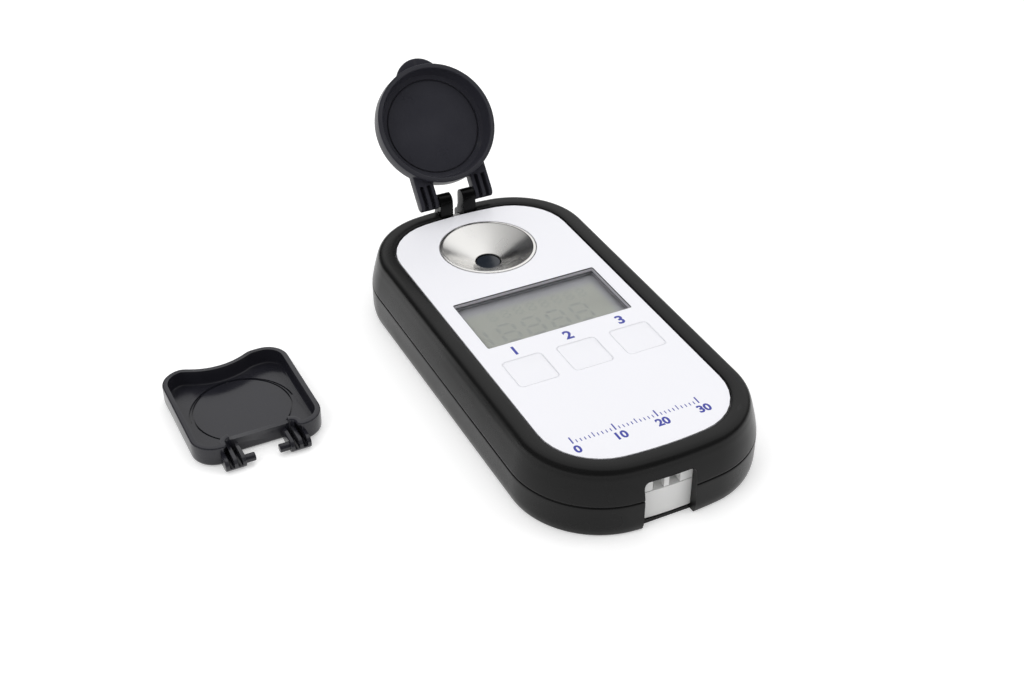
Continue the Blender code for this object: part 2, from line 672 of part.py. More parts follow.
def cut_upper_housing(shell, bottom, near, far):
    """Openings, pockets and screw holes of the upper half."""
    for side in (-1, 1):
        eye_low = WINDOW_CENTRE_X + (EYE_POST_HALF_WIDTH if side > 0 else -EYE_HALF_WIDTH)
        eye_high = WINDOW_CENTRE_X + (EYE_HALF_WIDTH if side > 0 else -EYE_POST_HALF_WIDTH)
        cut(shell, box("eye_mouth_%d" % side, (eye_low, near - OVERRUN, bottom - OVERRUN),
                       (eye_high, near + EYE_DEPTH, EYE_TOP)))
    cut(shell, box("eye_back", (WINDOW_CENTRE_X - EYE_HALF_WIDTH, near + EYE_POST_DEPTH, bottom - OVERRUN),
                   (WINDOW_CENTRE_X + EYE_HALF_WIDTH, near + EYE_DEPTH, EYE_TOP)))
    cut(shell, plate("key_pocket", rounded_rectangle(CIRCUIT_HALF_WIDTH + GAP, CIRCUIT_HALF_LENGTH + GAP,
                                                     POCKET_FILLET, (0, KEY_ROW_Y)),
                     POCKET_FLOOR, PLATEAU_TOP + OVERRUN))
    tail_y = KEY_ROW_Y + CIRCUIT_HALF_LENGTH
    tail_half = TAIL_HALF_WIDTH + GAP
    cut(shell, box("tail_slot", (-tail_half, tail_y - CIRCUIT_THICKNESS - GAP, CAVITY_TOP - OVERRUN),
                   (tail_half, tail_y + GAP, POCKET_FLOOR + OVERRUN)))
    cut(shell, plate("pane_pocket", display_outline(PANE_MARGIN + GAP), PANE_SEAT, PLATEAU_TOP + OVERRUN))
    cut(shell, plate("panel_opening", display_outline(PANEL_MARGIN + GAP), CAVITY_TOP - OVERRUN,
                     PANE_SEAT + OVERRUN))
    cut(shell, cylinder("well_hole", WELL_BODY_RADIUS + GAP, CAVITY_TOP - OVERRUN, PLATEAU_TOP + OVERRUN,
                        0, WELL_Y, WIDE_STEPS))
    roof = CAVITY_TOP + BITE - POST_ROOF
    for number, (x, y) in enumerate(case_screw_places()):
        cut(shell, cylinder("case_thread_%d" % number, CASE_SCREW[2] + GAP, bottom - OVERRUN, roof, x, y))
    small = BOARD_SCREW[2] + GAP
    for number, (x, y) in enumerate(board_screw_places()):
        cut(shell, cylinder("board_thread_%d" % number, small, BOARD_TOP, roof, x, y))
    for side in (-1, 1):
        cut(shell, cylinder("optics_thread_%d" % side, small, BLOCK_TOP, roof, side * EAR_SCREW_X, WELL_Y))
        cut(shell, rod("anchor_hole_%d" % side, small, far - BRACKET_SCREW_REACH + BITE, far + OVERRUN, "Y",
                       (side * BRACKET_SCREW_X, BRACKET_SCREW_Z)))


def display_outline(margin):
    """Outline of the display opening, widened by a margin."""
    return rounded_rectangle(DISPLAY_HALF_WIDTH + margin, DISPLAY_HALF_LENGTH + margin,
                             DISPLAY_FILLET + margin / 2, (0, DISPLAY_Y))


def make_lower_housing():
    """Lower half of the white housing, with the battery bay and the screw posts."""
    top = PARTING_HEIGHT - GAP / 2
    shell = plate("lower_housing", body_outline(HOUSING_OFFSET), HOUSING_BOTTOM, top)
    join(shell, plate("belly", body_outline(BELLY_OFFSET), 0, HOUSING_BOTTOM + BITE))
    inner = HOUSING_OFFSET - HOUSING_WALL
    cut(shell, plate("lower_cavity", body_outline(inner), FLOOR_TOP, top + OVERRUN))
    side = FACE_HALF_WIDTH + inner + BITE
    for number, edge in enumerate((BAY_Y - BAY_HALF_LENGTH - BAY_WALL, BAY_Y + BAY_HALF_LENGTH)):
        join(shell, box("bay_wall_%d" % number, (-side, edge, FLOOR_TOP - BITE),
                        (side, edge + BAY_WALL, BAY_WALL_TOP)))
    for number, (x, y) in enumerate(case_screw_places()):
        join(shell, cylinder("lower_post_%d" % number, LOWER_POST_RADIUS, FLOOR_TOP - BITE, top, x, y))
        cut(shell, cylinder("counterbore_%d" % number, CASE_SCREW[0] + GAP, -OVERRUN,
                            CASE_SCREW_LEDGE, x, y))
        cut(shell, cylinder("case_hole_%d" % number, CASE_SCREW[2] + GAP, FLOOR_TOP - BITE,
                            top + OVERRUN, x, y))
    door_roof = DOOR_INSET + DOOR_THICKNESS + GAP
    cut(shell, box("door_recess", (-DOOR_HALF_WIDTH - GAP, BAY_Y - DOOR_HALF_LENGTH - GAP, -OVERRUN),
                   (DOOR_HALF_WIDTH + GAP, BAY_Y + DOOR_HALF_LENGTH + DOOR_SWING, door_roof)))
    cut(shell, box("bay_opening", (-BAY_HALF_WIDTH, BAY_Y - BAY_HALF_LENGTH, door_roof - OVERRUN),
                   (BAY_HALF_WIDTH, BAY_Y + BAY_HALF_LENGTH, FLOOR_TOP + OVERRUN)))
    hinge_y, hinge_z = door_axis()
    reach = DOOR_HALF_WIDTH + DOOR_PIN_LENGTH + GAP
    cut(shell, rod("door_sockets", DOOR_PIN_RADIUS + GAP, -reach, reach, "X", (hinge_y, hinge_z)))
    return finish(shell, WHITE_PLASTIC)


def make_film():
    """The printed white film over the face, open for the keys, the display and the well."""
    film = plate("face_film", body_outline(-GAP), FILM_BOTTOM, FACE_HEIGHT)
    low, high = FILM_BOTTOM - OVERRUN, FACE_HEIGHT + OVERRUN
    for name, x in key_places():
        half = KEY_SIDE / 2 + GAP
        cut(film, plate("film_key_" + name, rounded_rectangle(half, half, KEY_FILLET + GAP, (x, KEY_ROW_Y)),
                        low, high))
    cut(film, plate("film_display", display_outline(0), low, high))
    cut(film, cylinder("film_well", WELL_RADIUS + GAP, low, high, 0, WELL_Y, WIDE_STEPS))
    return finish(film, WHITE_FILM)


def make_keys():
    """Three square keys, a steel snap dome under each, and the circuit film with its tail."""
    half = KEY_SIDE / 2
    dome = [(0, DOME_RISE)]
    dome += [(DOME_RADIUS * out, DOME_RISE * up) for out, up in DOME_SKIN_SHARES]
    dome += [(DOME_RADIUS, 0)]
    inside = [(max(radius - DOME_SHEET, 0), height - DOME_SHEET) for radius, height in dome[:-1]]
    dome += [(DOME_RADIUS - DOME_SHEET, 0)] + [point for point in reversed(inside)]
    for name, x in key_places():
        key = plate("key_" + name, rounded_rectangle(half, half, KEY_FILLET), KEY_BOTTOM, FACE_HEIGHT)
        key.location.x = x
        key.location.y = KEY_ROW_Y
        finish(key, WHITE_FILM)
        finish(turned("snap_dome_" + name, dome, (x, KEY_ROW_Y, DOME_TOP - DOME_RISE), SMALL_STEPS), STEEL)
    sheet = rounded_rectangle(CIRCUIT_HALF_WIDTH, CIRCUIT_HALF_LENGTH, POCKET_FILLET, (0, KEY_ROW_Y))
    circuit = plate("keypad_circuit", sheet, CIRCUIT_TOP - CIRCUIT_THICKNESS, CIRCUIT_TOP)
    tail_y = KEY_ROW_Y + CIRCUIT_HALF_LENGTH
    join(circuit, box("circuit_tail", (-TAIL_HALF_WIDTH, tail_y - CIRCUIT_THICKNESS, BOARD_TOP + GAP),
                      (TAIL_HALF_WIDTH, tail_y, CIRCUIT_TOP - CIRCUIT_THICKNESS / 2)))
    finish(circuit, AMBER_FILM)


def make_display():
    """Window pane, glass panel, its frame and the two contact strips below it."""
    finish(plate("display_window", display_outline(PANE_MARGIN), PANE_TOP - PANE_THICKNESS, PANE_TOP), PANE)
    bottom = PANEL_TOP - PANEL_THICKNESS
    finish(plate("lcd_panel", display_outline(PANEL_MARGIN), bottom, PANEL_TOP), PANEL)
    frame = plate("lcd_frame", display_outline(PANE_MARGIN), BOARD_TOP + GAP, bottom - GAP)
    cut(frame, plate("frame_opening", display_outline(PANE_MARGIN - FRAME_WALL),
                     BOARD_TOP, bottom + OVERRUN))
    finish(frame, BLACK_PLASTIC)
    strip_far = DISPLAY_HALF_LENGTH + PANE_MARGIN - FRAME_WALL - GAP
    for name, side in (("near", -1), ("far", 1)):
        edges = sorted((DISPLAY_Y + side * strip_far, DISPLAY_Y + side * (strip_far - FRAME_WALL)))
        finish(box("lcd_contact_" + name, (-DISPLAY_HALF_WIDTH, edges[0], BOARD_TOP + GAP),
                   (DISPLAY_HALF_WIDTH, edges[1], bottom - GAP)), RUBBER)


def make_board():
    """The circuit board, its processor and its screws."""
    middle = (BOARD_NEAR_Y + BOARD_FAR_Y) / 2
    half = (BOARD_FAR_Y - BOARD_NEAR_Y) / 2
    under = BOARD_TOP - BOARD_THICKNESS
    board = plate("circuit_board", rounded_rectangle(BOARD_HALF_WIDTH, half, BOARD_FILLET, (0, middle)),
                  under, BOARD_TOP)
    for number, (x, y) in enumerate(board_screw_places()):
        cut(board, cylinder("board_hole_%d" % number, BOARD_SCREW[2] + GAP, under - OVERRUN,
                            BOARD_TOP + OVERRUN, x, y))
        screw = screw_piece("board_screw_%d" % (number + 1), BOARD_SCREW, CAVITY_TOP - under - POST_ROOF)
        screw.location = (x, y, under - GAP)
        finish(screw, STEEL)
    finish(board, BOARD_GREEN)
    half_chip = CHIP_SIDE / 2
    chip_y = BOARD_NEAR_Y + CHIP_SETBACK
    finish(box("processor", (CHIP_X - half_chip, chip_y - half_chip, under - GAP - CHIP_THICKNESS),
               (CHIP_X + half_chip, chip_y + half_chip, under - GAP)), BLACK_PLASTIC)


def make_well():
    """The steel sample well, the prism whose neck closes it, and the seal between them."""
    top = FACE_HEIGHT + WELL_PROUD
    brim = top - WELL_BRIM
    well = turned("sample_well", [
        (WELL_MOUTH_RADIUS, top), (WELL_RADIUS - WELL_PROUD, top), (WELL_RADIUS, top - WELL_PROUD),
        (WELL_RADIUS, brim), (WELL_BODY_RADIUS, brim), (WELL_BODY_RADIUS, brim - WELL_BODY_LENGTH),
        (WELL_FOOT_RADIUS, WELL_FOOT), (WELL_HOLE_RADIUS, WELL_FOOT), (WELL_HOLE_RADIUS, WELL_CONE_BOTTOM)],
        (0, WELL_Y, 0), WIDE_STEPS, closed=True)
    finish(well, STEEL)
    points = [(WELL_Y - PRISM_FOOT_HALF, PRISM_FOOT), (WELL_Y + PRISM_FOOT_HALF, PRISM_FOOT),
              (WELL_Y + PRISM_TOP_HALF, PRISM_TOP), (WELL_Y - PRISM_TOP_HALF, PRISM_TOP)]
    prism = slab("prism", points, -PRISM_HALF_WIDTH, PRISM_HALF_WIDTH)
    neck = WELL_HOLE_RADIUS - GAP
    join(prism, cylinder("prism_neck", neck, PRISM_TOP - BITE, WELL_CONE_BOTTOM - GAP, 0, WELL_Y,
                         ROUND_STEPS))
    finish(prism, GLASS)
    outer = WELL_HOLE_RADIUS + SEAL_WIDTH
    under = SEAL_TOP - SEAL_THICKNESS
    ring = [(WELL_HOLE_RADIUS, SEAL_TOP), (outer, SEAL_TOP), (outer, under), (WELL_HOLE_RADIUS, under)]
    finish(turned("prism_seal", ring, (0, WELL_Y, 0), closed=True), RUBBER)


def make_optics():
    """The optics block with its pockets, the lamp, the line sensor and two screws."""
    near, far = WELL_Y - BLOCK_HALF_LENGTH, WELL_Y + BLOCK_HALF_LENGTH
    block = box("optics_block", (-BLOCK_HALF_WIDTH, near, FLOOR_TOP + GAP),
                (BLOCK_HALF_WIDTH, far, BLOCK_TOP))
    join(block, box("optics_ears", (-EAR_REACH, WELL_Y - EAR_HALF_LENGTH, BLOCK_TOP - EAR_THICKNESS),
                    (EAR_REACH, WELL_Y + EAR_HALF_LENGTH, BLOCK_TOP)))
    pocket_x, pocket_y = PRISM_HALF_WIDTH + GAP, PRISM_FOOT_HALF + GAP
    cut(block, box("prism_pocket", (-pocket_x, WELL_Y - pocket_y, PRISM_FOOT - GAP),
                   (pocket_x, WELL_Y + pocket_y, BLOCK_TOP + OVERRUN)))
    cut(block, rod("lamp_bore", LAMP_RADIUS + GAP, near - OVERRUN, WELL_Y - PRISM_FOOT_HALF, "Y",
                   (0, LAMP_HEIGHT)))
    sensor_near = WELL_Y + PRISM_FOOT_HALF + 2 * GAP
    pocket_x = SENSOR_HALF_WIDTH + GAP
    cut(block, box("sensor_pocket", (-pocket_x, WELL_Y + PRISM_FOOT_HALF, SENSOR_BOTTOM - GAP),
                   (pocket_x, sensor_near + SENSOR_THICKNESS + GAP, BLOCK_TOP + OVERRUN)))
    lamp = rod("lamp", LAMP_RADIUS, near, near + LAMP_LENGTH, "Y", (0, LAMP_HEIGHT))
    finish(soften(lamp, LAMP_RADIUS / 2), GLASS)
    finish(box("line_sensor", (-SENSOR_HALF_WIDTH, sensor_near, SENSOR_BOTTOM),
               (SENSOR_HALF_WIDTH, sensor_near + SENSOR_THICKNESS, SENSOR_TOP)), BLACK_PLASTIC)
    under = BLOCK_TOP - EAR_THICKNESS
    for name, side in (("left", -1), ("right", 1)):
        x = side * EAR_SCREW_X
        cut(block, cylinder("ear_hole_" + name, BOARD_SCREW[2] + GAP, under - OVERRUN, BLOCK_TOP + OVERRUN,
                            x, WELL_Y))
        screw = screw_piece("optics_screw_" + name, BOARD_SCREW, CAVITY_TOP - under - POST_ROOF)
        screw.location = (x, WELL_Y, under - GAP)
        finish(screw, STEEL)
    finish(block, BLACK_PLASTIC)


def make_battery():
    """The cell, its spring and its contact plate."""
    left = CELL_LEFT_X
    nub_end = CELL_BODY + CELL_NUB
    cell = turned("aaa_cell", [
        (0, nub_end), (CELL_NUB_RADIUS, nub_end), (CELL_NUB_RADIUS, CELL_BODY),
        (CELL_RADIUS - CELL_EDGE, CELL_BODY), (CELL_RADIUS, CELL_BODY - CELL_EDGE),
        (CELL_RADIUS, CELL_EDGE), (CELL_RADIUS - CELL_EDGE, 0), (0, 0)],
        (left, BAY_Y, CELL_HEIGHT))
    cell.rotation_euler = (0, pi / 2, 0)
    finish(cell, CELL_JACKET)
    wall = INNER_HALF_WIDTH
    half = CONTACT_HALF_SIDE
    contact = box("battery_contact", (wall - GAP - CONTACT_SHEET, BAY_Y - half, CELL_HEIGHT - half),
                  (wall - GAP, BAY_Y + half, CELL_HEIGHT + half))
    join(contact, rod("contact_nub", CONTACT_NUB_RADIUS, left + nub_end + GAP,
                      wall - GAP - CONTACT_SHEET / 2, "X", (BAY_Y, CELL_HEIGHT)))
    finish(contact, STEEL)
    start = -wall + GAP + SPRING_WIRE
    end = left - GAP - SPRING_WIRE
    count = SPRING_TURNS * SPRING_TURN_STEPS
    curve = bpy.data.curves.new("battery_spring", "CURVE")
    curve.dimensions = "3D"
    curve.resolution_u = 1
    curve.render_resolution_u = 0
    curve.bevel_depth = SPRING_WIRE
    curve.bevel_resolution = 1
    curve.use_fill_caps = True
    spline = curve.splines.new("POLY")
    spline.points.add(count)
    for step, knot in enumerate(spline.points):
        share = step / count
        angle = 2 * pi * step / SPRING_TURN_STEPS
        radius = SPRING_WIDE + (SPRING_NARROW - SPRING_WIDE) * share
        knot.co = (start + (end - start) * share, BAY_Y + radius * cos(angle),
                   CELL_HEIGHT + radius * sin(angle), 1)
    shape = bpy.data.objects.new("battery_spring", curve)
    bpy.context.scene.collection.objects.link(shape)
    finish(smooth(as_mesh(shape)), STEEL)


def door_axis():
    """Place in Y and Z of the battery door's pins."""
    return BAY_Y + DOOR_HALF_LENGTH - DOOR_HINGE_INSET, DOOR_INSET + DOOR_THICKNESS / 2


def make_door():
    """The battery door, hung on two pins at its far edge, with a finger notch at its near edge."""
    hinge_y, hinge_z = door_axis()
    low = BAY_Y - DOOR_HALF_LENGTH - hinge_y
    door = set_origin(box("battery_door", (-DOOR_HALF_WIDTH, low, -DOOR_THICKNESS / 2),
                          (DOOR_HALF_WIDTH, DOOR_HINGE_INSET, DOOR_THICKNESS / 2)))
    soften(door, DOOR_EDGE)
    reach = DOOR_HALF_WIDTH + DOOR_PIN_LENGTH
    pins = rod("door_pins", DOOR_PIN_RADIUS, -reach, reach, "X", (0, 0))
    notch = cylinder("door_notch", DOOR_NOTCH_RADIUS, -DOOR_THICKNESS / 2 - OVERRUN,
                     -DOOR_THICKNESS / 2 + DOOR_NOTCH_DEPTH, 0, low, ROUND_STEPS)
    hang(door, pins, notch)
    cut(join(door, pins), notch)
    door.location = (0, hinge_y, hinge_z)
    finish(door, WHITE_PLASTIC)


def make_case_screws():
    """Four screws that pull the housing halves together from below."""
    head_top = CASE_SCREW_LEDGE - GAP
    for number, (x, y) in enumerate(case_screw_places()):
        screw = screw_piece("case_screw_%d" % (number + 1), CASE_SCREW, CASE_SCREW_TIP - head_top)
        screw.location = (x, y, head_top)
        finish(screw, STEEL)


def make_bracket():
    """The hinge bracket: a foot screwed to the housing and two lugs with blind sockets."""
    front = HINGE_Y - LUG_RADIUS
    back = HINGE_Y + LUG_RADIUS
    outer = BRACKET_INNER_Y + BRACKET_THICKNESS
    over_shoulder = SHOULDER_TOP + GAP
    side = [(front, over_shoulder)]
    for step in range(SMALL_STEPS // 2 + 1):
        angle = pi - pi * step / (SMALL_STEPS // 2)
        side.append((HINGE_Y + LUG_RADIUS * cos(angle), HINGE_Z + LUG_RADIUS * sin(angle)))
    waist = over_shoulder + (HINGE_Z - over_shoulder) / 2
    side.append((back, waist))
    rise = waist - over_shoulder
    side += [(back + (outer - back) * out, over_shoulder + rise * up) for out, up in BRACKET_BACK_SHARES]
    side += [(outer, BRACKET_BOTTOM), (BRACKET_INNER_Y, BRACKET_BOTTOM), (BRACKET_INNER_Y, over_shoulder)]
    bracket = slab("hinge_bracket", side, -LUG_OUTER_X, LUG_OUTER_X)
    cut(bracket, box("lug_gap", (-LUG_INNER_X, front - OVERRUN, BRACKET_BRIDGE_TOP),
                     (LUG_INNER_X, outer + OVERRUN, HINGE_Z + LUG_RADIUS + OVERRUN)))
    depth = LUG_OUTER_X - PIN_LENGTH - GAP
    small = BOARD_SCREW[2] + GAP
    for name, way in (("left", -1), ("right", 1)):
        ends = sorted((way * depth, way * (LUG_OUTER_X + OVERRUN)))
        cut(bracket, rod("socket_" + name, PIN_RADIUS + GAP, ends[0], ends[1], "X", (HINGE_Y, HINGE_Z)))
        place = (way * BRACKET_SCREW_X, BRACKET_SCREW_Z)
        end = outer + OVERRUN
        cut(bracket, rod("foot_hole_" + name, small, BRACKET_INNER_Y - OVERRUN, end, "Y", place))
        cut(bracket, rod("foot_sink_" + name, BOARD_SCREW[0] + GAP, outer - BRACKET_SINK, end, "Y", place))
        screw = screw_piece("bracket_screw_" + name, BOARD_SCREW, BRACKET_SCREW_REACH)
        screw.location = (place[0], outer - BRACKET_SINK + GAP, place[1])
        screw.rotation_euler = (pi / 2, 0, 0)
        finish(screw, STEEL)
    finish(bracket, BLACK_PLASTIC)


def hinge_arm(owner, side):
    """Join one ribbed arm with its pin stub to a lid that is modelled on its hinge axis."""
    profile = [(ARM_END_Y, -KNUCKLE_RADIUS), (0, -KNUCKLE_RADIUS)]
    for step in range(1, SMALL_STEPS // 2):
        angle = -pi / 2 + pi * step / (SMALL_STEPS // 2)
        profile.append((KNUCKLE_RADIUS * cos(angle), KNUCKLE_RADIUS * sin(angle)))
    profile += [(0, KNUCKLE_RADIUS), (ARM_END_Y, KNUCKLE_RADIUS - ARM_TAPER)]
    ends = sorted((side * ARM_INNER_X, side * ARM_OUTER_X))
    arm = slab("%s_arm_%d" % (owner.name, side), profile, ends[0], ends[1])
    width = (ARM_OUTER_X - ARM_INNER_X - 3 * ARM_RIB) / 2
    pockets = []
    for number in range(2):
        start = ARM_INNER_X + ARM_RIB + number * (width + ARM_RIB)
        span = sorted((side * start, side * (start + width)))
        pockets.append(box("%s_pocket_%d_%d" % (owner.name, side, number),
                           (span[0], ARM_END_Y / 2, -KNUCKLE_RADIUS - OVERRUN),
                           (span[1], KNUCKLE_RADIUS + OVERRUN, KNUCKLE_RADIUS - ARM_WEB)))
    stub_ends = sorted((side * (ARM_INNER_X + BITE), side * (LUG_OUTER_X - PIN_LENGTH)))
    stub = rod("%s_stub_%d" % (owner.name, side), PIN_RADIUS, stub_ends[0], stub_ends[1], "X", (0, 0))
    hang(owner, arm, *pockets, stub)
    join(owner, arm)
    cut(owner, *pockets)
    join(owner, stub)


def make_lid():
    """The round lid: thumb tab, turned cap and two arms, hollowed, set open on its hinge."""
    tab_y = -(LID_ARM + LID_RADIUS + TAB_REACH - TAB_RADIUS)
    lid = set_origin(cylinder("lid", TAB_RADIUS, TAB_TOP - TAB_THICKNESS, TAB_TOP, 0, tab_y, ROUND_STEPS))
    chamfer = LID_SHOULDER / 3
    cap = turned("lid_cap", [(0, LID_TOP), (LID_RADIUS - LID_SHOULDER, LID_TOP),
                             (LID_RADIUS - chamfer, LID_TOP - chamfer),
                             (LID_RADIUS, LID_TOP - LID_SHOULDER), (LID_RADIUS, LID_RIM), (0, LID_RIM)],
                 (0, -LID_ARM, 0), WIDE_STEPS)
    under = LID_TOP - LID_PLATE
    step = under - LID_STEP_DROP
    inner = LID_RADIUS - LID_RIM_WIDTH
    groove_out = LID_GROOVE_RADIUS + LID_GROOVE_WIDTH / 2
    groove_in = LID_GROOVE_RADIUS - LID_GROOVE_WIDTH / 2
    groove_top = under + LID_GROOVE_DEPTH
    bowl = turned("lid_bowl", [(0, under), (groove_in, under), (groove_in, groove_top),
                               (groove_out, groove_top), (groove_out, step), (inner - LID_WALL_LEAN, step),
                               (inner, LID_RIM), (inner, LID_RIM - OVERRUN), (0, LID_RIM - OVERRUN)],
                  (0, -LID_ARM, 0), WIDE_STEPS)
    hang(lid, cap, bowl)
    join(lid, cap)
    hinge_arm(lid, -1)
    hinge_arm(lid, 1)
    cut(lid, bowl)
    lid.location = (0, HINGE_Y, HINGE_Z)
    lid.rotation_euler.x = -LID_OPEN_ANGLE
    finish(lid, BLACK_PLASTIC)


def tray_shape(name, inset, bottom, top):
    """The square lid's plan, drawn in by an inset, with its hinge bay and thumb hollow cut out."""
    middle = -(TRAY_NEAR + TRAY_FAR) / 2
    half_length = (TRAY_FAR - TRAY_NEAR) / 2
    tray = set_origin(plate(name, rounded_rectangle(TRAY_HALF_WIDTH - inset, half_length - inset,
                                                    TRAY_CORNER - inset, (0, middle)), bottom, top))
    low, high = bottom - OVERRUN, top + OVERRUN
    hollow = cylinder(name + "_thumb", THUMB_RADIUS + inset, low, high, THUMB_SHIFT,
                      -(TRAY_FAR - THUMB_DEPTH + THUMB_RADIUS), WIDE_STEPS)
    bay_edge = -(TRAY_NEAR + HINGE_BAY_DEPTH + inset)
    bay = box(name + "_bay", (-HINGE_BAY_HALF_WIDTH - inset, bay_edge, low),
              (HINGE_BAY_HALF_WIDTH + inset, OVERRUN, high))
    soften(bay, HINGE_BAY_FILLET, FILLET_STEPS)
    hang(tray, hollow, bay)
    return cut(tray, hollow, bay)


def make_spare_lid():
    """The square lid: a tray with the same hinge arms, taken off and laid on its back."""
    under = LID_TOP - LID_PLATE
    lid = tray_shape("spare_lid", 0, LID_RIM, LID_TOP)
    hinge_arm(lid, -1)
    hinge_arm(lid, 1)
    inside = tray_shape("tray_inside", TRAY_WALL, LID_RIM - OVERRUN, under)
    groove_out = TRAY_RING_RADIUS + LID_GROOVE_WIDTH / 2
    groove_in = TRAY_RING_RADIUS - LID_GROOVE_WIDTH / 2
    groove_top = under + LID_GROOVE_DEPTH
    ring = turned("tray_ring", [(groove_in, groove_top), (groove_out, groove_top),
                                (groove_out, under - BITE), (groove_in, under - BITE)],
                  (0, -TRAY_RING_Y, 0), WIDE_STEPS, closed=True)
    wall_y = -(TRAY_NEAR + HINGE_BAY_DEPTH)
    half = HINGE_BAY_HALF_WIDTH - TRAY_WALL
    low_wall = box("tray_low_wall", (-half, wall_y - TRAY_WALL - BITE, LID_RIM - OVERRUN),
                   (half, wall_y + BITE, LID_RIM + HINGE_BAY_DROP))
    hang(lid, inside, ring, low_wall)
    cut(lid, inside, ring, low_wall)
    lid.location = (SPARE_X, SPARE_Y, LID_TOP)
    lid.rotation_euler.x = pi
    finish(lid, BLACK_PLASTIC)


for leftover in list(bpy.data.objects):
    bpy.data.objects.remove(leftover)
PARTS = new_collection("digital_refractometer")
TOOLS = new_collection("cutters")
make_boot()
make_upper_housing()
make_lower_housing()
make_film()
make_keys()
make_display()
make_board()
make_well()
make_optics()
make_battery()
make_door()
make_case_screws()
make_bracket()
make_lid()
make_spare_lid()
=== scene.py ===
import math

import bmesh
import bpy
from mathutils import Matrix, Vector


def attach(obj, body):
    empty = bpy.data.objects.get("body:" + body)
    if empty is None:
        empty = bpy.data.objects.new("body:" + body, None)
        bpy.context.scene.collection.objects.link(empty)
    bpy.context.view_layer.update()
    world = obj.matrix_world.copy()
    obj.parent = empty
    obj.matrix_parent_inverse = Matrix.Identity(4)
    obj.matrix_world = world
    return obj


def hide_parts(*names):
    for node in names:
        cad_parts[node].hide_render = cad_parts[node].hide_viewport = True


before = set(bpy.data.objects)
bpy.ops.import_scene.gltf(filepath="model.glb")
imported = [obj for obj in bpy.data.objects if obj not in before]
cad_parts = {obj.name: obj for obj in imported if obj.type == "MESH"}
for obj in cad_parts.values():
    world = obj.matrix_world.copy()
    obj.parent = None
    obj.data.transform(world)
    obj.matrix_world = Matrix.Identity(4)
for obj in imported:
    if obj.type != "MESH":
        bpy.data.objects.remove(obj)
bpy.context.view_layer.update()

# The photographer's table: a pale sheet under the refractometer, one broad lamp over the left shoulder, a softer one
# to the right and one above the far end. The camera looks down at the near left corner of the instrument.
MM = 0.001
VIEW_TURN = math.radians(-26.47)
VIEW_RISE = math.radians(35.91)
VIEW_DISTANCE = 347.16 * MM
VIEW_TARGET = Vector((-12.67, -4.42, 16.2)) * MM


def aim(thing, spot):
    """Turns a lamp or the camera so that it looks at a spot."""
    thing.rotation_euler = (Vector(spot) - thing.location).to_track_quat("-Z", "Y").to_euler()


view_way = Vector((math.sin(VIEW_TURN) * math.cos(VIEW_RISE), -math.cos(VIEW_TURN) * math.cos(VIEW_RISE),
                   math.sin(VIEW_RISE)))
bpy.ops.object.camera_add(location=VIEW_TARGET + view_way * VIEW_DISTANCE)
camera = bpy.context.object
camera.data.lens = 53.44
camera.data.sensor_width = 36.0
camera.data.clip_start = 0.01
aim(camera, VIEW_TARGET)
bpy.context.scene.camera = camera
bpy.context.scene.view_settings.view_transform = "Standard"

for lamp_name, lamp_spot, lamp_size, lamp_power in (
        ("lamp_left", (-0.60, -0.15, 0.55), 0.50, 1.7),
        ("lamp_right", (0.55, -0.30, 0.50), 0.45, 1.0),
        ("lamp_far", (0.15, 0.42, 0.76), 0.90, 2.6)):
    bpy.ops.object.light_add(type="AREA", location=lamp_spot)
    lamp = bpy.context.object
    lamp.name = lamp_name
    lamp.data.shape = "SQUARE"
    lamp.data.size = lamp_size
    lamp.data.energy = lamp_power
    lamp.visible_glossy = False
    aim(lamp, (0, 0, 0.01))

bpy.ops.mesh.primitive_grid_add(x_subdivisions=8, y_subdivisions=8, size=1.8, location=(0, 0, -0.1 * MM))
table = bpy.context.object
table.name = "table_sheet"
bpy.ops.object.transform_apply(location=True)
paper = bpy.data.materials.new("table_paper")
paper.use_nodes = True
nodes, links = paper.node_tree.nodes, paper.node_tree.links
paper_shader = nodes["Principled BSDF"]
paper_shader.inputs["Base Color"].default_value = (0.86, 0.86, 0.86, 1)
paper_shader.inputs["Roughness"].default_value = 0.9
paper_shader.inputs["Specular IOR Level"].default_value = 0.1
paper_ray = nodes.new("ShaderNodeLightPath")
paper_seen = nodes.new("ShaderNodeMath")
paper_seen.operation = "MAXIMUM"
paper_lift = nodes.new("ShaderNodeMath")
paper_lift.operation = "MULTIPLY"
paper_lift.inputs[1].default_value = 0.34
links.new(paper_ray.outputs["Is Camera Ray"], paper_seen.inputs[0])
links.new(paper_ray.outputs["Is Glossy Ray"], paper_seen.inputs[1])
links.new(paper_seen.outputs[0], paper_lift.inputs[0])
paper_shader.inputs["Emission Color"].default_value = (1, 1, 1, 1)
links.new(paper_lift.outputs[0], paper_shader.inputs["Emission Strength"])
table.data.materials.append(paper)

sky = bpy.data.worlds.new("studio_room")
bpy.context.scene.world = sky
sky.use_nodes = True
nodes, links = sky.node_tree.nodes, sky.node_tree.links
sky_ray = nodes.new("ShaderNodeLightPath")
sky_way = nodes.new("ShaderNodeTexCoord")
sky_box = nodes.new("ShaderNodeVectorMath")
sky_box.operation = "DOT_PRODUCT"
sky_box.inputs[1].default_value = (0.36, 0.40, 0.84)
sky_rise = nodes.new("ShaderNodeMapRange")
sky_rise.interpolation_type = "SMOOTHSTEP"
sky_rise.inputs["From Min"].default_value = 0.60
sky_rise.inputs["From Max"].default_value = 0.88
sky_rise.inputs["To Min"].default_value = 0.06
sky_rise.inputs["To Max"].default_value = 1.1
sky_side = nodes.new("ShaderNodeVectorMath")
sky_side.operation = "DOT_PRODUCT"
sky_side.inputs[1].default_value = (0.72, 0.69, 0.0)
sky_window = nodes.new("ShaderNodeMapRange")
sky_window.interpolation_type = "SMOOTHSTEP"
sky_window.inputs["From Min"].default_value = 0.55
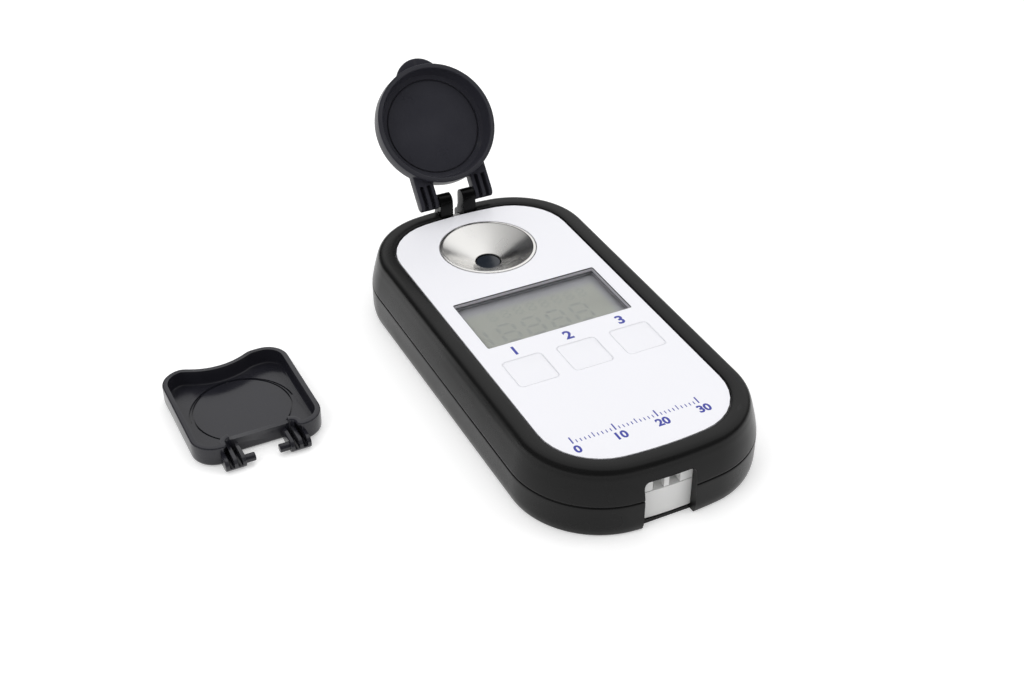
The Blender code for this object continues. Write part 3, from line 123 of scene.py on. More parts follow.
sky_window.inputs["From Max"].default_value = 0.95
sky_window.inputs["To Min"].default_value = 0.0
sky_window.inputs["To Max"].default_value = 0.30
sky_shown = nodes.new("ShaderNodeMath")
sky_shown.operation = "MAXIMUM"
sky_mirrored = nodes.new("ShaderNodeMath")
sky_mirrored.operation = "MAXIMUM"
links.new(sky_way.outputs["Generated"], sky_box.inputs[0])
links.new(sky_box.outputs["Value"], sky_rise.inputs["Value"])
links.new(sky_way.outputs["Generated"], sky_side.inputs[0])
links.new(sky_side.outputs["Value"], sky_window.inputs["Value"])
links.new(sky_rise.outputs["Result"], sky_shown.inputs[0])
links.new(sky_window.outputs["Result"], sky_shown.inputs[1])
links.new(sky_ray.outputs["Is Glossy Ray"], sky_mirrored.inputs[0])
links.new(sky_ray.outputs["Is Transmission Ray"], sky_mirrored.inputs[1])
sky_soft = nodes.new("ShaderNodeMix")
sky_soft.inputs["A"].default_value = 0.60
links.new(sky_mirrored.outputs[0], sky_soft.inputs["Factor"])
links.new(sky_shown.outputs[0], sky_soft.inputs["B"])
sky_strength = nodes.new("ShaderNodeMix")
sky_strength.inputs["B"].default_value = 1.0
links.new(sky_ray.outputs["Is Camera Ray"], sky_strength.inputs["Factor"])
links.new(sky_soft.outputs["Result"], sky_strength.inputs["A"])
links.new(sky_strength.outputs["Result"], nodes["Background"].inputs["Strength"])
nodes["Background"].inputs["Color"].default_value = (1, 1, 1, 1)


# The rubber boot: one soft black moulding that grips the whole body, with a round bead above, a drawn-in waist with a
# moulded line under it, and a lip that holds the white face. It is drawn as one section and led round the body's plan:
# along the sides, round the corners and along the slightly bowed ends.
FACE_HALF_WIDTH = 22.9 * MM
FACE_HALF_LENGTH = 51.7 * MM
CORNER_RADIUS = 14.65 * MM
END_RADIUS = 90.0 * MM
CORNER_X = FACE_HALF_WIDTH - CORNER_RADIUS
CORNER_Y = (FACE_HALF_LENGTH - END_RADIUS
            + math.sqrt((END_RADIUS - CORNER_RADIUS) ** 2 - CORNER_X ** 2))
CORNER_TURN = math.atan2(CORNER_Y - (FACE_HALF_LENGTH - END_RADIUS), CORNER_X)


def clear_choice():
    """Leaves nothing selected, in object mode."""
    if bpy.context.mode != "OBJECT":
        bpy.ops.object.mode_set(mode="OBJECT")
    bpy.ops.object.select_all(action="DESELECT")


def take(piece):
    """Makes one piece the only one selected."""
    clear_choice()
    piece.select_set(True)
    bpy.context.view_layer.objects.active = piece
    return piece


def choose(kind, wanted):
    """In edit mode, selects the corners, edges or faces that pass a test on their middle and on themselves."""
    mode = {"verts": "VERT", "edges": "EDGE", "faces": "FACE"}[kind]
    bpy.ops.mesh.select_mode(type=mode)
    bpy.ops.mesh.select_all(action="DESELECT")
    mesh = bpy.context.object.data
    work = bmesh.from_edit_mesh(mesh)
    for part in getattr(work, kind):
        if kind == "verts":
            middle = part.co
        elif kind == "edges":
            middle = (part.verts[0].co + part.verts[1].co) / 2
        else:
            middle = part.calc_center_median()
        if wanted(middle, part):
            part.select_set(True)
    work.select_flush_mode()
    bmesh.update_edit_mesh(mesh)


def draw_chain(name, spots, closed=False):
    """A chain of edges drawn like a pen line: one corner, pulled out from spot to spot."""
    clear_choice()
    bpy.ops.mesh.primitive_plane_add(size=MM)
    piece = bpy.context.object
    piece.name = name
    bpy.ops.object.mode_set(mode="EDIT")
    bpy.ops.mesh.select_mode(type="VERT")
    bpy.ops.mesh.select_all(action="SELECT")
    bpy.ops.mesh.merge(type="CENTER")
    bpy.ops.transform.translate(value=spots[0])
    for here, there in zip(spots, spots[1:]):
        step = [b - a for a, b in zip(here, there)]
        bpy.ops.mesh.extrude_vertices_move(TRANSFORM_OT_translate={"value": step})
    if closed:
        bpy.ops.mesh.select_all(action="SELECT")
        bpy.ops.mesh.edge_face_add()
        bpy.ops.mesh.delete(type="ONLY_FACE")
    return piece


def smooth_line(spots, steps):
    """The spots with softly curved runs between them."""
    fine = []
    for i in range(len(spots) - 1):
        before, here = spots[max(i - 1, 0)], spots[i]
        there, after = spots[i + 1], spots[min(i + 2, len(spots) - 1)]
        for k in range(steps):
            t = k / steps
            fine.append(tuple(0.5 * (2 * b + (c - a) * t + (2 * a - 5 * b + 4 * c - d) * t ** 2
                                     + (3 * b - a - 3 * c + d) * t ** 3)
                              for a, b, c, d in zip(before, here, there, after)))
    return fine + [tuple(spots[-1])]


def lead_round(corner_steps=26, end_steps=14):
    """Leads the selected section, drawn at the right-hand side of the near end, once round the body's plan."""
    far_y = FACE_HALF_LENGTH - END_RADIUS
    for way in (1, -1):
        bpy.ops.mesh.extrude_edges_move(TRANSFORM_OT_translate={"value": (0, way * 2 * CORNER_Y, 0)})
        bpy.ops.mesh.spin(steps=corner_steps, angle=-CORNER_TURN, axis=(0, 0, 1),
                          center=(way * CORNER_X, way * CORNER_Y, 0))
        bpy.ops.mesh.spin(steps=end_steps, angle=-2 * (math.pi / 2 - CORNER_TURN), axis=(0, 0, 1),
                          center=(0, way * far_y, 0))
        bpy.ops.mesh.spin(steps=corner_steps, angle=-CORNER_TURN, axis=(0, 0, 1),
                          center=(-way * CORNER_X, way * CORNER_Y, 0))


def close_up(gap=0.002 * MM):
    """Joins doubled corners, turns all faces outwards and leaves edit mode."""
    bpy.ops.mesh.select_all(action="SELECT")
    bpy.ops.mesh.remove_doubles(threshold=gap)
    bpy.ops.mesh.normals_make_consistent(inside=False)
    bpy.ops.object.mode_set(mode="OBJECT")


def work_on(piece, kind, **values):
    """Adds a modifier to a piece, sets it and applies it."""
    take(piece)
    step = piece.modifiers.new("step", kind)
    for name, value in values.items():
        setattr(step, name, value)
    bpy.ops.object.modifier_apply(modifier=step.name)
    return piece


def carve(piece, *tools, operation="DIFFERENCE"):
    """Cuts tools out of a piece, or joins them to it, and takes the tools away."""
    for tool in tools:
        work_on(piece, "BOOLEAN", operation=operation, solver="EXACT", object=tool)
        bpy.data.objects.remove(tool)
    return piece


def block(name, low, high, rounding=0.0, segments=4, wanted=None):
    """A block between two corners, in millimetres, with some or all of its edges rounded."""
    clear_choice()
    bpy.ops.mesh.primitive_cube_add(size=1, location=[(a + b) / 2 * MM for a, b in zip(low, high)],
                                    scale=[(b - a) * MM for a, b in zip(low, high)])
    piece = bpy.context.object
    piece.name = name
    bpy.ops.object.transform_apply(location=True, rotation=True, scale=True)
    if rounding:
        bpy.ops.object.mode_set(mode="EDIT")
        choose("edges", wanted or (lambda middle, edge: True))
        bpy.ops.mesh.bevel(offset=rounding * MM, segments=segments, affect="EDGES", clamp_overlap=True)
        bpy.ops.object.mode_set(mode="OBJECT")
    return piece


def soft_shade(piece, degrees=32):
    """Shades a piece smooth across all but its sharp edges."""
    take(piece)
    bpy.ops.object.shade_smooth_by_angle(angle=math.radians(degrees))
    return piece


def finish_of(name, colour, roughness, metallic=0.0, drift=0.06, drift_size=9.0, grain=0.12, grain_depth=0.004,
              uneven=0.06, wear=None, coat=0.0, shine=0.5):
    """A finish whose colour drifts over some millimetres, with fine grain and uneven gloss.

    wear is the paler colour that shows on edges that are rubbed."""
    made = bpy.data.materials.new(name)
    made.use_nodes = True
    nodes, links = made.node_tree.nodes, made.node_tree.links
    shader = nodes["Principled BSDF"]
    shader.inputs["Metallic"].default_value = metallic
    shader.inputs["Coat Weight"].default_value = coat
    shader.inputs["Specular IOR Level"].default_value = shine
    place = nodes.new("ShaderNodeTexCoord")
    broad = nodes.new("ShaderNodeTexNoise")
    broad.inputs["Scale"].default_value = 1 / (drift_size * MM)
    broad.inputs["Detail"].default_value = 4
    fine = nodes.new("ShaderNodeTexNoise")
    fine.inputs["Scale"].default_value = 1 / (grain * MM)
    fine.inputs["Detail"].default_value = 3
    blend = nodes.new("ShaderNodeMix")
    blend.data_type = "RGBA"
    blend.inputs["A"].default_value = (*[c * (1 - drift) for c in colour], 1)
    blend.inputs["B"].default_value = (*[min(c * (1 + drift), 1) for c in colour], 1)
    gloss = nodes.new("ShaderNodeMapRange")
    gloss.inputs["From Min"].default_value = 0.3
    gloss.inputs["From Max"].default_value = 0.7
    gloss.inputs["To Min"].default_value = roughness - uneven
    gloss.inputs["To Max"].default_value = roughness + uneven
    bump = nodes.new("ShaderNodeBump")
    bump.inputs["Strength"].default_value = 0.6
    bump.inputs["Distance"].default_value = grain_depth * MM
    for texture in (broad, fine):
        links.new(place.outputs["Object"], texture.inputs["Vector"])
    links.new(broad.outputs["Fac"], blend.inputs["Factor"])
    links.new(broad.outputs["Fac"], gloss.inputs["Value"])
    links.new(gloss.outputs["Result"], shader.inputs["Roughness"])
    links.new(fine.outputs["Fac"], bump.inputs["Height"])
    links.new(bump.outputs["Normal"], shader.inputs["Normal"])
    tone = blend.outputs["Result"]
    if wear:
        form = nodes.new("ShaderNodeNewGeometry")
        edge = nodes.new("ShaderNodeMapRange")
        edge.inputs["From Min"].default_value = 0.53
        edge.inputs["From Max"].default_value = 0.62
        rubbed = nodes.new("ShaderNodeMath")
        rubbed.operation = "MULTIPLY"
        worn = nodes.new("ShaderNodeMix")
        worn.data_type = "RGBA"
        worn.inputs["B"].default_value = (*wear, 1)
        links.new(form.outputs["Pointiness"], edge.inputs["Value"])
        links.new(edge.outputs["Result"], rubbed.inputs[0])
        links.new(broad.outputs["Fac"], rubbed.inputs[1])
        links.new(rubbed.outputs[0], worn.inputs["Factor"])
        links.new(tone, worn.inputs["A"])
        tone = worn.outputs["Result"]
    links.new(tone, shader.inputs["Base Color"])
    return made


def dress(piece, finish, body, slot_name, *stands_for):
    """Gives a piece its finish and body, and hides the CAD nodes that it stands for; the slot name is not used."""
    piece.data.materials.clear()
    piece.data.materials.append(finish)
    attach(piece, body)
    if stands_for:
        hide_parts(*stands_for)


BOOT_BEAD = ((0.0, 16.2), (0.10, 16.34), (0.30, 16.46), (0.90, 16.64), (1.90, 16.70), (2.90, 16.66), (3.60, 16.46),
             (4.10, 16.10), (4.40, 15.60), (4.60, 15.00), (4.85, 14.20), (5.15, 13.00), (5.50, 11.60), (5.85, 10.00),
             (6.14, 8.42))
BOOT_LINE = ((6.05, 8.22), (5.93, 8.10), (6.03, 7.98))
BOOT_SKIRT = ((6.17, 7.84), (6.20, 7.40), (6.20, 6.50), (6.20, 3.50), (6.12, 1.90), (5.85, 0.70), (5.64, 0.22),
              (5.40, 0.0))
BOOT_INSIDE = ((2.2, 0.0), (2.2, 0.8), (4.05, 0.8), (4.05, 14.45), (0.0, 14.45))
boot_section = smooth_line(BOOT_BEAD, 4) + list(BOOT_LINE) + smooth_line(BOOT_SKIRT, 3) + list(BOOT_INSIDE)
boot = draw_chain("boot", [(FACE_HALF_WIDTH + out * MM, -CORNER_Y, up * MM) for out, up in boot_section], closed=True)
bpy.ops.mesh.select_mode(type="EDGE")
bpy.ops.mesh.select_all(action="SELECT")
lead_round()
close_up()
window = block("window_cutter", (-8.2, -59.3, -2.4), (4.3, -50.3, 12.4), 1.4, 8)
carve(window, block("flange_keeper", (-9.2, -55.625, -3.4), (5.3, -49.3, 0.925)))
carve(boot, window, block("notch_cutter", (-5.15, 50.7, 7.35), (5.15, 58.9, 17.7)))
soft_shade(boot, 40)
boot_rubber = finish_of("boot_rubber", (0.008, 0.008, 0.008), 0.28, drift=0.15, drift_size=14, grain=0.10,
                        grain_depth=0.003, uneven=0.05, wear=(0.018, 0.018, 0.019), shine=0.17)
dress(boot, boot_rubber, "instrument", "rubber", "rubber_boot")


# The white housing: two moulded halves that meet at a parting line, seen through the window in the boot's near end,
# where the lanyard eye opens, between the hinge lugs and from below. Their sharp edges are broken like a real
# moulding's.
def moulded_copy(node, name, edge):
    """A copy of a solid with its faces made whole again and its sharp edges rounded, in millimetres."""
    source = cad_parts[node]
    clear_choice()
    mesh = source.data.copy()
    piece = bpy.data.objects.new(name, mesh)
    bpy.context.scene.collection.objects.link(piece)
    mesh.materials.clear()
    take(piece)
    bpy.ops.object.mode_set(mode="EDIT")
    bpy.ops.mesh.select_all(action="SELECT")
    bpy.ops.mesh.customdata_custom_splitnormals_clear()
    bpy.ops.mesh.remove_doubles(threshold=0.002 * MM)
    bpy.ops.mesh.dissolve_limited(angle_limit=math.radians(1))
    bpy.ops.object.mode_set(mode="OBJECT")
    work_on(piece, "BEVEL", width=edge * MM, segments=2, limit_method="ANGLE", angle_limit=math.radians(30))
    soft_shade(piece, 24)
    return work_on(piece, "WEIGHTED_NORMAL", keep_sharp=True, weight=100)


white_plastic = finish_of("housing_white", (0.80, 0.80, 0.79), 0.40, drift=0.02, drift_size=12, grain=0.09,
                          grain_depth=0.002, wear=(0.86, 0.86, 0.85))
for node, name in (("upper_housing", "housing_top"), ("lower_housing", "housing_base")):
    dress(moulded_copy(node, name, 0.12), white_plastic, "instrument", "white_plastic", node)
dress(block("eye_floor", (-5.6, -53.9, 7.3), (1.7, -51.9, 8.25), 0.1, 2), white_plastic, "instrument", "white_plastic")


# The battery door: a flat white plate with round edges and four grip grooves, hung on two pins at its far
# edge. The grooves start beyond the notch for the thumb at its near edge.
door = moulded_copy("battery_door", "door", 0.10)
GROOVE_FIRST_Y = -35.4
GROOVE_PITCH = 0.9
GROOVE_HALF_LENGTH = 7.5
GROOVE_HALF_WIDTH = 0.2
grooves = []
for row in range(4):
    middle = GROOVE_FIRST_Y + row * GROOVE_PITCH
    grooves.append(block("door_groove_%d" % row, (-GROOVE_HALF_LENGTH, middle - GROOVE_HALF_WIDTH, 0.12),
                         (GROOVE_HALF_LENGTH, middle + GROOVE_HALF_WIDTH, 0.5), 0.1, 2))
carve(door, *grooves)
soft_shade(door, 30)
dress(door, white_plastic, "battery_door", "white_plastic", "battery_door")


# The face: a white film with a fine satin grain, open for keys, display and well. A narrow web of the same film runs
# round each key, so that the key shows as a thin pressed outline.
film_white = finish_of("face_white", (0.86, 0.86, 0.90), 0.34, drift=0.012, drift_size=20, grain=0.06,
                       grain_depth=0.0015, uneven=0.03)
dress(moulded_copy("face_film", "face", 0.07), film_white, "instrument", "white_film", "face_film")
KEY_PLACES = (("left", -13.74), ("centre", 0.0), ("right", 13.74))
KEY_Y = -15.87
KEY_HALF = 4.86
KEY_LOW = 15.55
KEY_TOP = 16.2
WEB_GAP = 0.06
WEB_WIDTH = 0.14
key_white = finish_of("key_white", (0.86, 0.86, 0.90), 0.34, drift=0.012, drift_size=20, grain=0.06,
                      grain_depth=0.0015, uneven=0.03)
for name, x in KEY_PLACES:
    key = block("key_cap_" + name, (x - KEY_HALF, KEY_Y - KEY_HALF, KEY_LOW),
                (x + KEY_HALF, KEY_Y + KEY_HALF, KEY_TOP), 0.9, 8,
                lambda middle, edge: abs(middle.z - (KEY_LOW + KEY_TOP) / 2 * MM) < 0.01 * MM)
    take(key)
    bpy.ops.object.mode_set(mode="EDIT")
    choose("edges", lambda middle, edge: all(v.co.z > 16.19 * MM for v in edge.verts))
    bpy.ops.mesh.bevel(offset=0.12 * MM, segments=3, affect="EDGES")
    bpy.ops.object.mode_set(mode="OBJECT")
    soft_shade(key, 16)
    dress(key, key_white, "key_" + name, "white_film", "key_" + name)
    inner = KEY_HALF + WEB_GAP
    outer = inner + WEB_WIDTH
    web = block("key_web_" + name, (x - outer, KEY_Y - outer, 15.78), (x + outer, KEY_Y + outer, 16.14),
                1.1, 8, lambda middle, edge: abs(middle.z - 15.96 * MM) < 0.01 * MM)
    carve(web, block("web_cutter", (x - inner, KEY_Y - inner, 15.0), (x + inner, KEY_Y + inner, 17.0),
                     0.96, 8, lambda middle, edge: abs(middle.z - 16.0 * MM) < 0.01 * MM))
    soft_shade(web)
    dress(web, film_white, "instrument", "white_film")


# The printing on the face: blue ink, a thin raised layer. A plain number stands above each key and a plain scale with
# its numbers at the near end.
blue_ink = finish_of("blue_ink", (0.035, 0.045, 0.33), 0.42, drift=0.08, drift_size=3, grain=0.05, grain_depth=0.001)


def printed(text, size, x, y, name):
    """A piece of printing, flat on the face, its middle at x and y in millimetres."""
    clear_choice()
    bpy.ops.object.text_add(location=(x * MM, y * MM, 16.21 * MM))
    words = bpy.context.object
    words.name = name
    words.data.body = text
    words.data.size = size * MM
    words.data.align_x = "CENTER"
    words.data.align_y = "CENTER"
    words.data.extrude = 0.008 * MM
    words.data.offset = 0.12 * MM
    words.data.resolution_u = 6
    bpy.ops.object.convert(target="MESH")
    bpy.ops.object.transform_apply(location=True, rotation=True, scale=True)
    bpy.ops.object.mode_set(mode="EDIT")
    close_up(0.0005 * MM)
    return words


SCALE_Y = -42.7
SCALE_LEFT = -17.4
SCALE_STEP = 1.03
SCALE_MARKS = 31
KEY_NUMBER_Y = -8.0
KEY_NUMBER_SIZE = 4.3
SCALE_NUMBER_DROP = 2.1
SCALE_NUMBER_SIZE = 3.2
marks = [printed(str(number), KEY_NUMBER_SIZE, x, KEY_NUMBER_Y, "key_number_%d" % number)
         for number, (name, x) in enumerate(KEY_PLACES, 1)]
for mark in range(SCALE_MARKS):
    long_mark = 2.2 if mark % 10 == 0 else 1.6 if mark % 5 == 0 else 1.0
    wide = 0.17 if mark % 10 == 0 else 0.11
    x = SCALE_LEFT + mark * SCALE_STEP
    marks.append(block("scale_mark_%d" % mark, (x - wide, SCALE_Y, 16.202),
                       (x + wide, SCALE_Y + long_mark, 16.218), 0.05, 2,
                       lambda middle, edge: abs(middle.z - 16.21 * MM) < 0.002 * MM))
for number in range(0, SCALE_MARKS, 10):
    marks.append(printed(str(number), SCALE_NUMBER_SIZE, SCALE_LEFT + number * SCALE_STEP,
                         SCALE_Y - SCALE_NUMBER_DROP, "scale_number_%d" % number))
clear_choice()
for mark in marks:
    mark.select_set(True)
bpy.context.view_layer.objects.active = marks[0]
bpy.ops.object.join()
printing = bpy.context.object
printing.name = "face_printing"
dress(printing, blue_ink, "instrument", "white_film")


# The display: a clear pane under the face with a grey printed border on its underside, a dark lining round the edge
# of the opening that is painted shade in the gap there, a grey wall round the edge of the opening, and the grey-green
# display glass below it, darker towards its far and right edges with painted shade, on which the digits that are
# switched off show faintly.
DISPLAY_X = 18.83
DISPLAY_Y = 5.05
DISPLAY_HALF = 9.69
DISPLAY_NEAR = DISPLAY_Y - DISPLAY_HALF
DISPLAY_FAR = DISPLAY_Y + DISPLAY_HALF
LINING_OUT = 0.12
BORDER_OUT = 2.4


def ring_plate(name, x, near, far, low, high, width, rounding, inner_rounding):
    """A flat frame with round corners; width is how far it reaches inwards, all in millimetres."""
    middle = (low + high) / 2 * MM
    piece = block(name, (-x, near, low), (x, far, high), rounding, 6,
                  lambda spot, edge: abs(spot.z - middle) < 0.001 * MM)
    carve(piece, block("ring_cutter", (-x + width, near + width, low - 1), (x - width, far - width, high + 1),
                       inner_rounding, 6, lambda spot, edge: abs(spot.z - middle) < 0.001 * MM))
    return soft_shade(piece)


# The dark lining is painted shade: a near-black ring set where the gap at the opening's edge lies in shadow.
painted_shade_lining = finish_of("painted_shade_lining", (0.02, 0.02, 0.022), 0.5, drift=0.1, drift_size=3, grain=0.05)
dress(ring_plate("display_painted_shade_lining", DISPLAY_X + LINING_OUT, DISPLAY_NEAR - LINING_OUT,
                 DISPLAY_FAR + LINING_OUT, 15.90, 16.14, 0.22, 0.6, 0.4), painted_shade_lining, "instrument", "black_plastic")
border_grey = finish_of("border_grey", (0.58, 0.57, 0.61), 0.45, drift=0.08, drift_size=5, grain=0.05)
dress(ring_plate("display_wall", DISPLAY_X + LINING_OUT, DISPLAY_NEAR - LINING_OUT,
                 DISPLAY_FAR + LINING_OUT, 15.22, 15.90, 0.30, 0.6, 0.4), border_grey, "instrument", "black_plastic")
dress(ring_plate("display_border", DISPLAY_X + BORDER_OUT, DISPLAY_NEAR - BORDER_OUT,
                 DISPLAY_FAR + BORDER_OUT, 14.35, 14.45, 2.7, 1.6, 0.5), border_grey, "instrument", "window")

clear_pane = finish_of("clear_pane", (0.97, 0.98, 0.98), 0.035, drift=0.005, drift_size=15, grain=0.4,
                       grain_depth=0.0004, uneven=0.012)
clear_pane.node_tree.nodes["Principled BSDF"].inputs["Transmission Weight"].default_value = 1.0
clear_pane.node_tree.nodes["Principled BSDF"].inputs["IOR"].default_value = 1.12
dress(moulded_copy("display_window", "display_pane", 0.08), clear_pane, "instrument", "window", "display_window")

panel_green = finish_of("panel_green", (0.385, 0.39, 0.352), 0.36, drift=0.05, drift_size=16, grain=0.05,
                        grain_depth=0.0006, uneven=0.04, shine=0.25)
# Painted shade: the display glass turns violet-grey towards its far and right edges, where the opening's edges shade
# it; the violet-grey is partly the tint of the glass's border.
nodes, links = panel_green.node_tree.nodes, panel_green.node_tree.links
panel_place = nodes.new("ShaderNodeTexCoord")
panel_split = nodes.new("ShaderNodeSeparateXYZ")
panel_shade_edges = nodes.new("ShaderNodeMath")
panel_shade_edges.operation = "MAXIMUM"
panel_shade_mix = nodes.new("ShaderNodeMix")
panel_shade_mix.data_type = "RGBA"
panel_shade_mix.inputs["B"].default_value = (0.33, 0.325, 0.35, 1)
links.new(panel_place.outputs["Object"], panel_split.inputs["Vector"])
for panel_axis, soft_start, soft_end, panel_socket in (("Y", 9.6, 12.6, 0), ("X", 15.6, 17.8, 1)):
    panel_shade_ramp = nodes.new("ShaderNodeMapRange")
    panel_shade_ramp.interpolation_type = "SMOOTHSTEP"
    panel_shade_ramp.inputs["From Min"].default_value = soft_start * MM
    panel_shade_ramp.inputs["From Max"].default_value = soft_end * MM
    links.new(panel_split.outputs[panel_axis], panel_shade_ramp.inputs["Value"])
    links.new(panel_shade_ramp.outputs["Result"], panel_shade_edges.inputs[panel_socket])
panel_tone = nodes["Principled BSDF"].inputs["Base Color"].links[0].from_socket
links.new(panel_shade_edges.outputs[0], panel_shade_mix.inputs["Factor"])
links.new(panel_tone, panel_shade_mix.inputs["A"])
links.new(panel_shade_mix.outputs["Result"], nodes["Principled BSDF"].inputs["Base Color"])
dress(moulded_copy("lcd_panel", "display_glass", 0.12), panel_green, "instrument", "panel", "lcd_panel")


def segment(name, across, length, x, y, turned):
    """One bar of a digit: a thin plate with pointed ends."""
    piece = block(name, (x - length / 2, y - across / 2, 14.052), (x + length / 2, y + across / 2, 14.064))
    take(piece)
    bpy.ops.object.mode_set(mode="EDIT")
    choose("edges", lambda middle, edge: abs(edge.verts[0].co.z - edge.verts[1].co.z) > 0.005 * MM)
    bpy.ops.mesh.bevel(offset=across * 0.42 * MM, segments=1, affect="EDGES")
    if turned:
        bpy.ops.mesh.select_all(action="SELECT")
        bpy.ops.transform.rotate(value=math.pi / 2, orient_axis="Z", center_override=(x * MM, y * MM, 14.058 * MM))
    bpy.ops.object.mode_set(mode="OBJECT")
    return piece


def ghost_digit(name, x, y, half_x, half_y, bar):
    """The seven bars of one digit around a middle, in millimetres."""
    bars = []
    for number, (dx, dy, turned) in enumerate(((0, 1, False), (0, 0, False), (0, -1, False), (-1, 0.5, True),
                                               (-1, -0.5, True), (1, 0.5, True), (1, -0.5, True))):
        length = (half_y if turned else 2 * half_x) - bar * 1.15
        bars.append(segment("%s_%d" % (name, number), bar, length, x + dx * half_x, y + dy * half_y, turned))
    return bars


LARGE_LEFT, LARGE_STEP, LARGE_Y, LARGE_BAR = -10.4, 6.4, 1.55, 0.80
SMALL_LEFT, SMALL_STEP, SMALL_Y, SMALL_BAR = -11.3, 3.4, 8.7, 0.40
LEADING_X = -15.8
digits = []
for place in range(4):
    digits += ghost_digit("large_digit_%d" % place, LARGE_LEFT + place * LARGE_STEP, LARGE_Y, 2.0, 3.3, LARGE_BAR)
for place, y in enumerate((3.2, -0.1)):
    digits.append(segment("leading_one_%d" % place, LARGE_BAR, 2.6, LEADING_X, y, True))
for place in range(8):
    digits += ghost_digit("small_digit_%d" % place, SMALL_LEFT + place * SMALL_STEP, SMALL_Y, 0.85, 1.5, SMALL_BAR)
clear_choice()
for bar in digits:
    bar.select_set(True)
bpy.context.view_layer.objects.active = digits[0]
bpy.ops.object.join()
ghosts = bpy.context.object
ghosts.name = "ghost_digits"
ghost_grey = finish_of("ghost_grey", (0.285, 0.295, 0.272), 0.32, drift=0.04, drift_size=8, grain=0.05)
dress(ghosts, ghost_grey, "instrument", "panel")


# The sample well: a cup turned from stainless steel with a thin proud rim and a polished cone. Its profile is drawn
# once and turned about the well's axis; the fine lines that the tool left run round it.
WELL_Y = 34.43


def turned_piece(name, profile, y, steps=96, closed=True):
    """A closed profile of radius and height, in millimetres, turned about an upright axis."""
    piece = draw_chain(name, [(radius * MM, y * MM, height * MM) for radius, height in profile], closed=closed)
    bpy.ops.mesh.select_mode(type="EDGE")
    bpy.ops.mesh.select_all(action="SELECT")
    bpy.ops.mesh.spin(steps=steps, angle=2 * math.pi, axis=(0, 0, 1), center=(0, y * MM, 0))
    close_up()
    return piece


def turned_steel(name, colour, roughness, centre, ring=0.05, depth=0.0012):
    """Turned steel: the finish of polished metal with fine rings about an upright axis."""
    made = finish_of(name, colour, roughness, metallic=1.0, drift=0.05, drift_size=6, grain=0.05, grain_depth=0.0004,
                     uneven=0.05)
    nodes, links = made.node_tree.nodes, made.node_tree.links
    shader = nodes["Principled BSDF"]
    place = nodes.new("ShaderNodeTexCoord")
    centred = nodes.new("ShaderNodeMapping")
    centred.inputs["Location"].default_value = (-centre[0] * MM, -centre[1] * MM, 0)
    split = nodes.new("ShaderNodeSeparateXYZ")
    across = nodes.new("ShaderNodeCombineXYZ")
    radius = nodes.new("ShaderNodeVectorMath")
    radius.operation = "LENGTH"
    lines = nodes.new("ShaderNodeTexNoise")
    lines.noise_dimensions = "1D"
    lines.inputs["Scale"].default_value = 1 / (ring * MM)
    lines.inputs["Detail"].default_value = 5
    bump = nodes.new("ShaderNodeBump")
    bump.inputs["Strength"].default_value = 0.5
    bump.inputs["Distance"].default_value = depth * MM
    links.new(place.outputs["Object"], centred.inputs["Vector"])
    links.new(centred.outputs["Vector"], split.inputs["Vector"])
    links.new(split.outputs["X"], across.inputs["X"])
    links.new(split.outputs["Y"], across.inputs["Y"])
    links.new(across.outputs["Vector"], radius.inputs[0])
    links.new(radius.outputs["Value"], lines.inputs["W"])
    links.new(lines.outputs["Fac"], bump.inputs["Height"])
    links.new(bump.outputs["Normal"], shader.inputs["Normal"])
    return made


well = turned_piece("well_cup", (
    (11.30, 16.24), (11.36, 16.29), (11.86, 16.30), (11.96, 16.24), (12.0, 16.14), (12.0, 15.72), (10.6, 15.72),
    (10.6, 12.62), (7.5, 11.3), (3.27, 11.3), (3.27, 11.93), (3.32, 12.0), (3.42, 12.06), (11.16, 16.14)), WELL_Y)
soft_shade(well, 34)
well_steel = turned_steel("well_steel", (0.84, 0.83, 0.81), 0.25, (0, WELL_Y), 0.06, 0.004)
dress(well, well_steel, "instrument", "steel", "sample_well")

prism_glass = finish_of("prism_glass", (0.016, 0.020, 0.028), 0.12, drift=0.3, drift_size=3, grain=0.2,
                        grain_depth=0.0005, uneven=0.03, shine=0.4)
dress(moulded_copy("prism", "prism_body", 0.10), prism_glass, "instrument", "prism_glass", "prism")


# The hinge bracket: a black moulding screwed to the housing's far end, whose two lugs stand up through a notch in the
# boot and carry the lid's pins. Its side view is drawn, filled and drawn out to its width, then slotted and bored.
HINGE_Y = 53.9
HINGE_Z = 20.0
LUG_RADIUS = 1.95
SCREW_X = 3.1
SCREW_Z = 10.1
BORE_END = 59.6


def drawn_plate(name, spots, left, right):
    """A side view in Y and Z, in millimetres, filled and drawn out along X."""
    piece = draw_chain(name, [(left * MM, y * MM, z * MM) for y, z in spots], closed=True)
    bpy.ops.mesh.select_all(action="SELECT")
    bpy.ops.mesh.edge_face_add()
    bpy.ops.mesh.extrude_region_move(TRANSFORM_OT_translate={"value": ((right - left) * MM, 0, 0)})
    close_up()
    return piece


def peg(name, radius, left, right, y, z, steps=32, edge=0.0):
    """A round peg along X, in millimetres, with its ends rounded."""
    clear_choice()
    bpy.ops.mesh.primitive_cylinder_add(vertices=steps, radius=radius * MM, depth=(right - left) * MM,
                                        location=((left + right) / 2 * MM, y * MM, z * MM),
                                        rotation=(0, math.pi / 2, 0))
    piece = bpy.context.object
    piece.name = name
    bpy.ops.object.transform_apply(location=True, rotation=True, scale=True)
    if edge:
        bpy.ops.object.mode_set(mode="EDIT")
        choose("edges", lambda middle, part: abs(part.verts[0].co.x - part.verts[1].co.x) < 0.001 * MM)
        bpy.ops.mesh.bevel(offset=edge * MM, segments=3, affect="EDGES")
        bpy.ops.object.mode_set(mode="OBJECT")
    return piece


